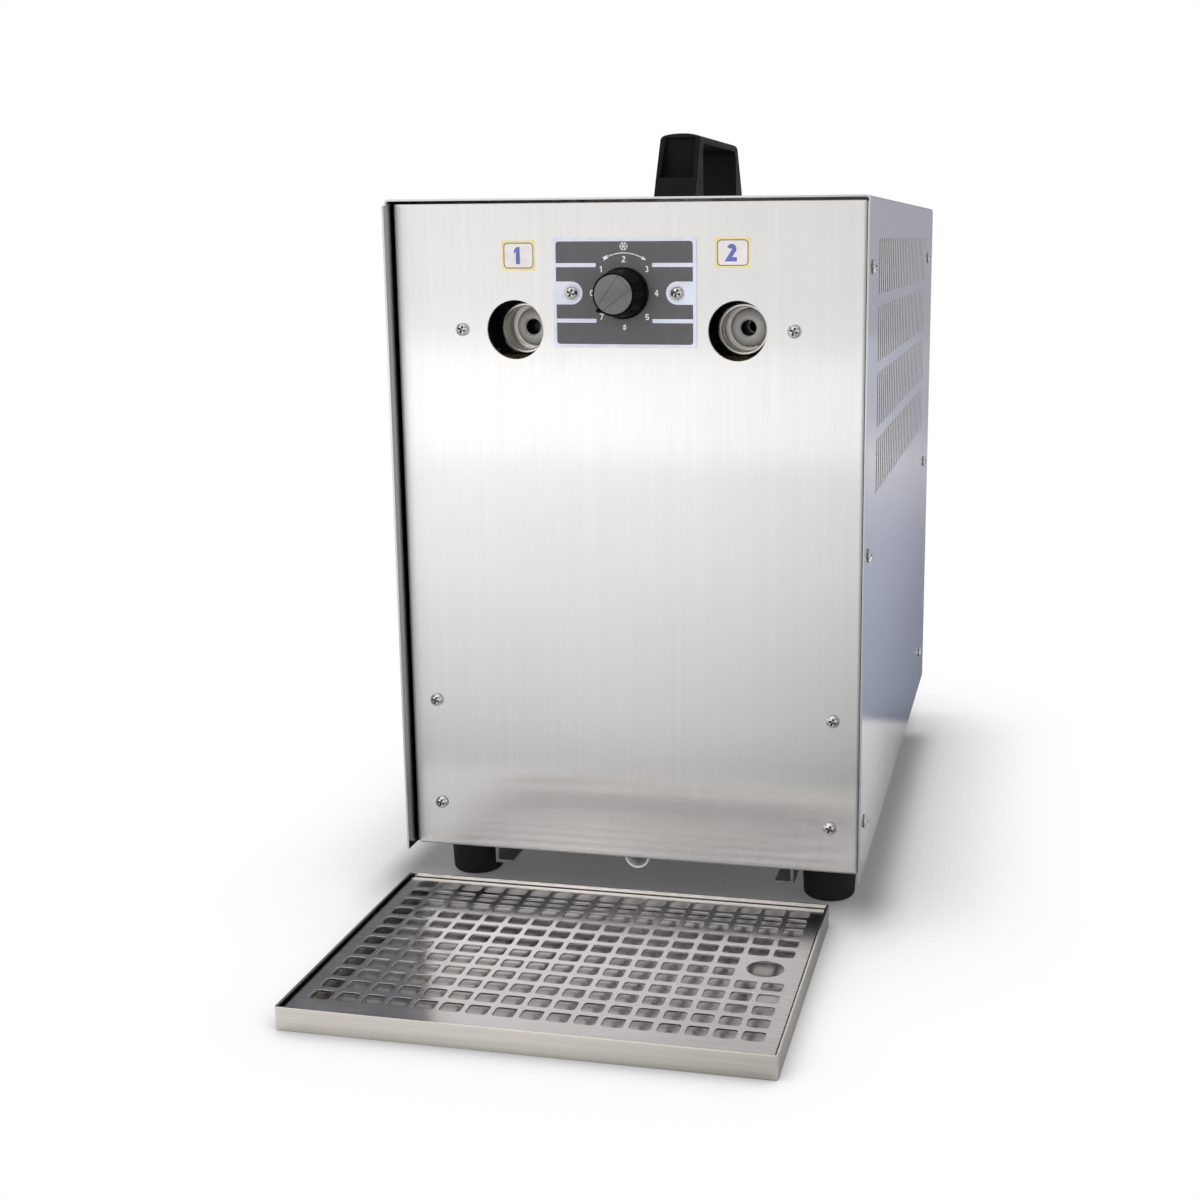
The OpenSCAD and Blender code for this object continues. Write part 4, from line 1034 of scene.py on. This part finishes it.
class COOLER_OT_knob_lines(bpy.types.Operator):
    """Draws the pointer's two lines and its end on the knob's cap as dark pieces, painted shade for grooves"""
    bl_idname = "cooler.knob_lines"
    bl_label = "Knob lines"

    def execute(self, context):
        # The pointer's grooves are dark pieces on the cap, as painted shade.
        painted_groove = moulded("knob_painted_groove", shade(context.scene.cooler_plastic.cap, GROOVE_SHADE),
                         roughness=0.5)
        middle = ((CAP_LOW.x + CAP_HIGH.x) / 2, (CAP_LOW.z + CAP_HIGH.z) / 2)
        radius = (CAP_HIGH.x - CAP_LOW.x) / 2
        reach, half = KNOB_LINE_REACH * radius, KNOB_HALF_LINE
        outlines = []
        for side in (-1, 1):
            near_x, near_z = math.sqrt(reach ** 2 - KNOB_NARROW ** 2), side * KNOB_NARROW
            far_x, far_z = -math.sqrt(reach ** 2 - KNOB_WIDE ** 2), side * KNOB_WIDE
            outlines.append([(near_x, near_z - half), (near_x, near_z + half), (far_x, far_z + half),
                             (far_x, far_z - half)])
        cut = -KNOB_CUT_PLACE * radius
        cut_end = cut - KNOB_CUT_WIDTH
        outlines.append([(cut, -KNOB_WIDE), (cut_end, -KNOB_WIDE), (cut_end, KNOB_WIDE), (cut, KNOB_WIDE)])
        shapes = [[turned_outline(outline, KNOB_POINTS_TO, *middle)] for outline in outlines]
        film_piece("knob_pointer_lines", shapes, CAP_LOW.y, KNOB_INK, painted_groove, "knob")
        return {"FINISHED"}


# Port stickers

STICKERS = ((1, -64.6 * MM, 406.0 * MM), (2, 64.8 * MM, 407.3 * MM))
STICKER_FILM = 0.04 * MM
STICKER_INK = STICKER_FILM / 2
STICKER_CORNER = 0.6 * MM
FIELD_INSET, FIELD_CORNER = 1.3 * MM, 2.4 * MM
LINE_OUTER_INSET, LINE_OUTER_CORNER = 1.1 * MM, 2.6 * MM
LINE_INNER_INSET, LINE_INNER_CORNER = 1.8 * MM, 2.0 * MM
STICKER_NUMBER_HEIGHT, STICKER_NUMBER_LINE = 10.0 * MM, 0.25
STICKER_NUMBER_SHIFT = -0.6 * MM


class COOLER_OT_stickers(bpy.types.Operator):
    """Puts the numbered stickers over the tap ports"""
    bl_idname = "cooler.stickers"
    bl_label = "Port stickers"

    def execute(self, context):
        look = context.scene.cooler_print
        edge = printed("sticker_edge", look.sticker_edge)
        line = printed("sticker_line", look.sticker_line)
        field = printed("sticker_field", look.sticker_field)
        ink = printed("sticker_number", look.sticker_number)
        on_film = PANEL_FRONT - STICKER_FILM
        for digit, cx, cz in STICKERS:
            place = (look, cx, cz)
            outline = [self.box(*place, 0, STICKER_CORNER)]
            inner = [self.box(*place, FIELD_INSET, FIELD_CORNER)]
            ring = [self.box(*place, LINE_OUTER_INSET, LINE_OUTER_CORNER),
                    self.box(*place, LINE_INNER_INSET, LINE_INNER_CORNER)]
            number = numeral_shapes(digit, STICKER_NUMBER_HEIGHT, cx + STICKER_NUMBER_SHIFT, cz,
                                    STICKER_NUMBER_LINE)
            self.lay("sticker_edge", digit, [outline], PANEL_FRONT, STICKER_FILM, edge)
            self.lay("sticker_field", digit, [inner], on_film, STICKER_INK, field)
            self.lay("sticker_line", digit, [ring], on_film, STICKER_FILM, line)
            self.lay("sticker_number", digit, number, on_film - STICKER_INK, STICKER_INK, ink)
        return {"FINISHED"}

    def box(self, look, cx, cz, inset, corner):
        half_w, half_h = look.sticker_width / 2 - inset, look.sticker_height / 2 - inset
        return rounded_box(cx - half_w, cz - half_h, cx + half_w, cz + half_h, corner)

    def lay(self, name, digit, shapes, front, thickness, material):
        film_piece(name + "_" + str(digit), shapes, front, thickness, material, "cooler")


# Stage

# Tones that polished sheet shows of the room; on the floor they are painted reflections, with painted shade
# near the case. A stop is a place and a tone. Floor places are distances behind the cover's front plane. The
# front half of the room goes by the height of the look, the rear half by its X.
PAPER_END = 0.12
FLOOR_AHEAD = tuple((at, grey(tone)) for at, tone in (
    (-5.0, 1.0), (-2.6, 1.0), (-1.68, 0.98), (-1.04, 0.88), (-0.65, 0.745), (-0.394, 0.635), (-0.29, 0.54),
    (-0.25, 0.48), (-0.22, 0.66), (0.0, 0.55), (PAPER_END, 0.95)))
FLOOR_BEHIND = (
    (PAPER_END, grey(1.0)), (0.445, grey(1.0)), (0.465, (0.36, 0.39, 0.49)), (1.33, (0.47, 0.49, 0.58)),
    (2.2, (0.69, 0.69, 0.74)), (3.0, (0.53, 0.54, 0.61)))
ROOM_AHEAD = tuple((at, grey(tone)) for at, tone in (
    (-0.1, 1.0), (-0.058, 1.0), (-0.037, 0.95), (0.0, 0.89), (0.03, 0.87), (0.15, 0.95), (0.3, 1.0),
    (0.37, 1.0), (0.42, 0.46), (0.47, 0.17), (0.55, 0.16)))
ROOM_BEHIND = (
    (-0.6, (0.10, 0.10, 0.11)), (-0.4, (0.12, 0.12, 0.13)), (-0.1, (0.39, 0.39, 0.43)),
    (0.07, (0.35, 0.35, 0.39)), (0.1, (0.42, 0.42, 0.47)))
ROOM_OVERHEAD = grey(0.78)

FLOOR_HALF = 6.0
FLOOR_COLOUR = (0.78, 0.78, 0.79)
WHITE = grey(1.0)

# The floor's shade: reach of the soft shadow, its deepest tones, and the gloom right under the case.
SHADOW_REACH = 0.15
SHADOW_IN_METAL, SHADOW_SEEN = 0.30, 0.10
GLOOM = 0.22

# Fades: the start and end of a stretch, and the factors there. A lean is a slanting line's run in X or depth.
PAPER_LEAN, PAPER_FADE = -0.16, (0.0, 0.22, 1.0, 0.64)
ROOM_FLOOR_LEAN, ROOM_FLOOR_FADE = -11.7, (-1.95, -1.1, 1.0, 0.64)
CASE_FADE = (0.16, 0.25, 0.84, 1.0)
SHADOW_FADE = (0.1, 0.92, 0.0, 1.0)
GLOOM_LEFT, GLOOM_RIGHT = (-0.20, -0.155, 0.0, 1.0), (0.14, 0.19, 1.0, 0.0)
GLOOM_FRONT, GLOOM_REAR = (-0.05, 0.06, 0.0, 1.0), (0.40, 0.48, 1.0, 0.0)
ROOM_RIGHT_FADE = (-0.21, -0.10, 1.0, 0.72)
ROOM_REAR_FADE = (-0.3, 0.2, 0.0, 1.0)
ROOM_TOP_FADE = (0.5, 0.8, 0.0, 1.0)

# Lamps: places from the cover's front plane, the middle and the floor.
KEY_PLACE, KEY_WIDTH = (-0.9, -1.5, 1.5), 1.9
STRIP_PLACE, STRIP_WIDTH, STRIP_HEIGHT = (-0.55, -2.0, 0.11), 1.6, 0.2
FILL_PLACE, FILL_WIDTH = (1.4, -1.5, 0.9), 1.7
FRONT_PLACE, FRONT_WIDTH = (-0.25, -1.9, 0.55), 1.2
PANEL_MIDDLE = (0.0, 0.0, 0.22)


def camera_axes(yaw, pitch, roll):
    """Right, up and backward directions of the camera."""
    bearing = Matrix.Rotation(yaw, 3, "Z")
    level = Matrix(((1, 0, 0), (0, 0, -1), (0, 1, 0)))
    tilt = Matrix.Rotation(pitch, 3, "X")
    lean = Matrix.Rotation(roll, 3, "Z")
    view = lean @ tilt @ level @ bearing
    return view[0], -view[1], -view[2]


def sight_rays(tree):
    """1 for rays from the camera, and 1 for these and for rays that metal or glass sends on."""
    path = tree.nodes.new("ShaderNodeLightPath").outputs
    seen = math_node(tree, "MAXIMUM", path["Is Camera Ray"], path["Is Glossy Ray"])
    return path["Is Camera Ray"], math_node(tree, "MAXIMUM", seen, path["Is Transmission Ray"])


def tones(tree, value, stops):
    """A colour ramp over a value. Each stop is a value and a colour."""
    low, high = stops[0][0], stops[-1][0]
    ramp = tree.nodes.new("ShaderNodeValToRGB")
    elements = ramp.color_ramp.elements
    while len(elements) < len(stops):
        elements.new(0.5)
    for element, (at, rgb) in zip(elements, stops):
        element.position = (at - low) / (high - low)
        element.color = (*rgb, 1.0)
    link(tree, map_range(tree, value, low, high), ramp.inputs["Fac"])
    return ramp.outputs["Color"]


def scaled(tree, rgb, factor):
    """A colour made darker by a factor."""
    node = tree.nodes.new("ShaderNodeVectorMath")
    node.operation = "SCALE"
    link(tree, rgb, node.inputs[0])
    link(tree, factor, node.inputs["Scale"])
    return node.outputs[0]


def floor_in_metal(tree, across, along):
    """Painted reflection: what polished sheet shows of the floor, bright paper in front, and the room's grey
    floor behind it.
    """
    # The right of the paper is duller, a painted shade, beyond a line that leans to the left away from the
    # cooler.
    beyond = math_node(tree, "MULTIPLY_ADD", along, PAPER_LEAN, across)
    paper_dim = map_range(tree, beyond, *PAPER_FADE, smooth=True)
    # The room's floor is duller near the case, as a painted shadow of the case, and beyond a line that leans to
    # the right away from it, as a painted shade.
    near_dim = map_range(tree, across, *CASE_FADE)
    far = math_node(tree, "MULTIPLY_ADD", across, ROOM_FLOOR_LEAN, along)
    far_dim = map_range(tree, far, *ROOM_FLOOR_FADE, smooth=True)
    ahead = scaled(tree, tones(tree, along, FLOOR_AHEAD), paper_dim)
    behind = scaled(tree, tones(tree, along, FLOOR_BEHIND), product(tree, near_dim, far_dim))
    return mix_colour(tree, math_node(tree, "GREATER_THAN", along, PAPER_END), ahead, behind)


def floor_shadow(tree, across, along, camera_ray):
    """The soft shadow round the cooler and tray, and the gloom under the case, as a factor."""
    hidden = tree.nodes.new("ShaderNodeAmbientOcclusion")
    hidden.samples = 8
    hidden.inputs["Distance"].default_value = SHADOW_REACH
    deepest = map_range(tree, camera_ray, 0.0, 1.0, SHADOW_IN_METAL, SHADOW_SEEN)
    soft = math_node(tree, "MAXIMUM", map_range(tree, hidden.outputs["AO"], *SHADOW_FADE), deepest)
    under_case = product(
        tree,
        map_range(tree, across, *GLOOM_LEFT, smooth=True),
        map_range(tree, across, *GLOOM_RIGHT, smooth=True),
        map_range(tree, along, *GLOOM_FRONT, smooth=True),
        map_range(tree, along, *GLOOM_REAR, smooth=True))
    return math_node(tree, "MINIMUM", soft, map_range(tree, under_case, 0.0, 1.0, 1.0, GLOOM))


def floor_material():
    """White paper that glows with a painted shadow, and shows polished sheet the room's tones as a painted
    reflection.
    """
    material = bpy.data.materials.new("white_floor")
    material.use_nodes = True
    tree = material.node_tree
    tree.nodes.clear()
    output = tree.nodes.new("ShaderNodeOutputMaterial")
    paper = tree.nodes.new("ShaderNodeBsdfDiffuse")
    paper.inputs["Color"].default_value = (*FLOOR_COLOUR, 1.0)
    glow = tree.nodes.new("ShaderNodeEmission")
    camera_ray, sight = sight_rays(tree)
    place = split(tree, surface(tree, "Position"))
    across = place["X"]
    along = math_node(tree, "SUBTRACT", place["Y"], COVER_FRONT)
    lit = mix_colour(tree, camera_ray, floor_in_metal(tree, across, along), WHITE)
    link(tree, lit, glow.inputs["Color"])
    link(tree, floor_shadow(tree, across, along, camera_ray), glow.inputs["Strength"])
    mix = tree.nodes.new("ShaderNodeMixShader")
    link(tree, sight, mix.inputs["Fac"])
    link(tree, paper.outputs[0], mix.inputs[1])
    link(tree, glow.outputs[0], mix.inputs[2])
    link(tree, mix.outputs[0], output.inputs["Surface"])
    return material


def from_front(place):
    """A place measured from the cover's front plane, as a place in the frame."""
    return Vector((place[0], COVER_FRONT + place[1], place[2]))


def area_lamp(name, place, target, lamp_power, width, height=None):
    """An area lamp that looks at a point, square unless a height is given."""
    lamp = bpy.data.lights.new(name, "AREA")
    lamp.shape = "RECTANGLE"
    lamp.size, lamp.size_y = width, height or width
    lamp.energy = lamp_power
    holder = bpy.data.objects.new(name, lamp)
    holder.location = from_front(place)
    look = from_front(target) - from_front(place)
    holder.rotation_euler = look.to_track_quat("-Z", "Y").to_euler()
    bpy.context.scene.collection.objects.link(holder)
    return holder


class COOLER_OT_stage(bpy.types.Operator):
    """Sets up the floor, the room, the lamps and the camera"""
    bl_idname = "cooler.stage"
    bl_label = "Stage"

    def execute(self, context):
        stage = context.scene.cooler_stage
        self.lay_floor(context)
        self.paint_room(context, stage)
        self.hang_lamps(stage)
        self.set_camera(context, stage)
        context.scene.view_settings.view_transform = "Standard"
        return {"FINISHED"}

    def lay_floor(self, context):
        bm = bmesh.new()
        bmesh.ops.create_grid(bm, x_segments=8, y_segments=8, size=FLOOR_HALF)
        mesh = bpy.data.meshes.new("floor")
        bm.to_mesh(mesh)
        bm.free()
        mesh.materials.append(floor_material())
        floor = bpy.data.objects.new("floor", mesh)
        context.scene.collection.objects.link(floor)

    def paint_room(self, context, stage):
        world = bpy.data.worlds.new("soft_room")
        context.scene.world = world
        world.use_nodes = True
        tree = world.node_tree
        tree.nodes.clear()
        output = tree.nodes.new("ShaderNodeOutputWorld")
        backdrop = tree.nodes.new("ShaderNodeBackground")
        camera_ray, sight = sight_rays(tree)
        look = split(tree, place_on(tree, "Generated"))
        right_dim = map_range(tree, look["X"], *ROOM_RIGHT_FADE, smooth=True)
        ahead = scaled(tree, tones(tree, look["Z"], ROOM_AHEAD), right_dim)
        behind = tones(tree, look["X"], ROOM_BEHIND)
        to_back = map_range(tree, look["Y"], *ROOM_REAR_FADE, smooth=True)
        overhead = map_range(tree, look["Z"], *ROOM_TOP_FADE, smooth=True)
        room = mix_colour(tree, overhead, mix_colour(tree, to_back, ahead, behind), ROOM_OVERHEAD)
        # The camera sees white, and so do the rays that light matt surfaces.
        white = math_node(tree, "MAXIMUM", camera_ray, math_node(tree, "SUBTRACT", 1.0, sight))
        link(tree, mix_colour(tree, white, room, WHITE), backdrop.inputs["Color"])
        link(tree, map_range(tree, sight, 0.0, 1.0, stage.sky, 1.0), backdrop.inputs["Strength"])
        link(tree, backdrop.outputs[0], output.inputs["Surface"])

    def hang_lamps(self, stage):
        ahead_of_strip = (STRIP_PLACE[0], 0.0, STRIP_PLACE[2])
        area_lamp("key_lamp", KEY_PLACE, PANEL_MIDDLE, stage.key_power, KEY_WIDTH)
        area_lamp("strip_lamp", STRIP_PLACE, ahead_of_strip, stage.strip_power, STRIP_WIDTH, STRIP_HEIGHT)
        fill = area_lamp("fill_lamp", FILL_PLACE, PANEL_MIDDLE, stage.fill_power, FILL_WIDTH)
        face_on = area_lamp("front_lamp", FRONT_PLACE, PANEL_MIDDLE, stage.front_power, FRONT_WIDTH)
        # The sheet metal shows the room, not these two lamps.
        for lamp in (fill, face_on):
            lamp.visible_glossy = False

    def set_camera(self, context, stage):
        data = bpy.data.cameras.new("photo_camera")
        data.sensor_fit = "HORIZONTAL"
        data.sensor_width = SENSOR_WIDTH
        data.lens = SENSOR_WIDTH * stage.focal / PHOTO_SIZE
        data.shift_x = (PHOTO_SIZE / 2 - stage.centre_x) / PHOTO_SIZE
        data.shift_y = (stage.centre_y - PHOTO_SIZE / 2) / PHOTO_SIZE
        data.clip_start = 20.0 * MM
        camera = bpy.data.objects.new("photo_camera", data)
        axes = Matrix(camera_axes(stage.yaw, stage.pitch, stage.roll)).transposed().to_4x4()
        place = from_front((stage.camera_x, stage.camera_y, stage.camera_z))
        camera.matrix_world = Matrix.Translation(place) @ axes
        context.scene.collection.objects.link(camera)
        context.scene.camera = camera


# Add-on

PIECES = (COOLER_OT_case, COOLER_OT_fasteners, COOLER_OT_ports, COOLER_OT_plastics, COOLER_OT_works,
          COOLER_OT_dial, COOLER_OT_knob_lines, COOLER_OT_stickers, COOLER_OT_tray, COOLER_OT_stage)
LOOKS = {"cooler_metal": CoolerMetal, "cooler_plastic": CoolerPlastic, "cooler_print": CoolerPrint,
         "cooler_stage": CoolerStage}


class COOLER_PT_finishes(bpy.types.Panel):
    """Lists the cooler's pieces and their sizes and colours"""
    bl_idname = "COOLER_PT_finishes"
    bl_label = "Beer Line Cooler"
    bl_space_type = "VIEW_3D"
    bl_region_type = "UI"
    bl_category = "Cooler"

    def draw(self, context):
        for piece in PIECES:
            self.layout.operator(piece.bl_idname)
        for look in LOOKS:
            box = self.layout.box()
            group = getattr(context.scene, look)
            for name in group.__annotations__:
                box.prop(group, name)


CLASSES = (*LOOKS.values(), *PIECES, COOLER_PT_finishes)


def register():
    """Registers the classes and gives the scene their properties."""
    for cls in CLASSES:
        bpy.utils.register_class(cls)
    for name, look in LOOKS.items():
        setattr(bpy.types.Scene, name, PointerProperty(type=look))


def unregister():
    """Takes the properties and the classes away again."""
    for name in LOOKS:
        delattr(bpy.types.Scene, name)
    for cls in reversed(CLASSES):
        bpy.utils.unregister_class(cls)


def main():
    """Builds every piece and the stage."""
    register()
    for piece in PIECES:
        group, name = piece.bl_idname.split(".")
        getattr(getattr(bpy.ops, group), name)()


if __name__ == "__main__":
    main()
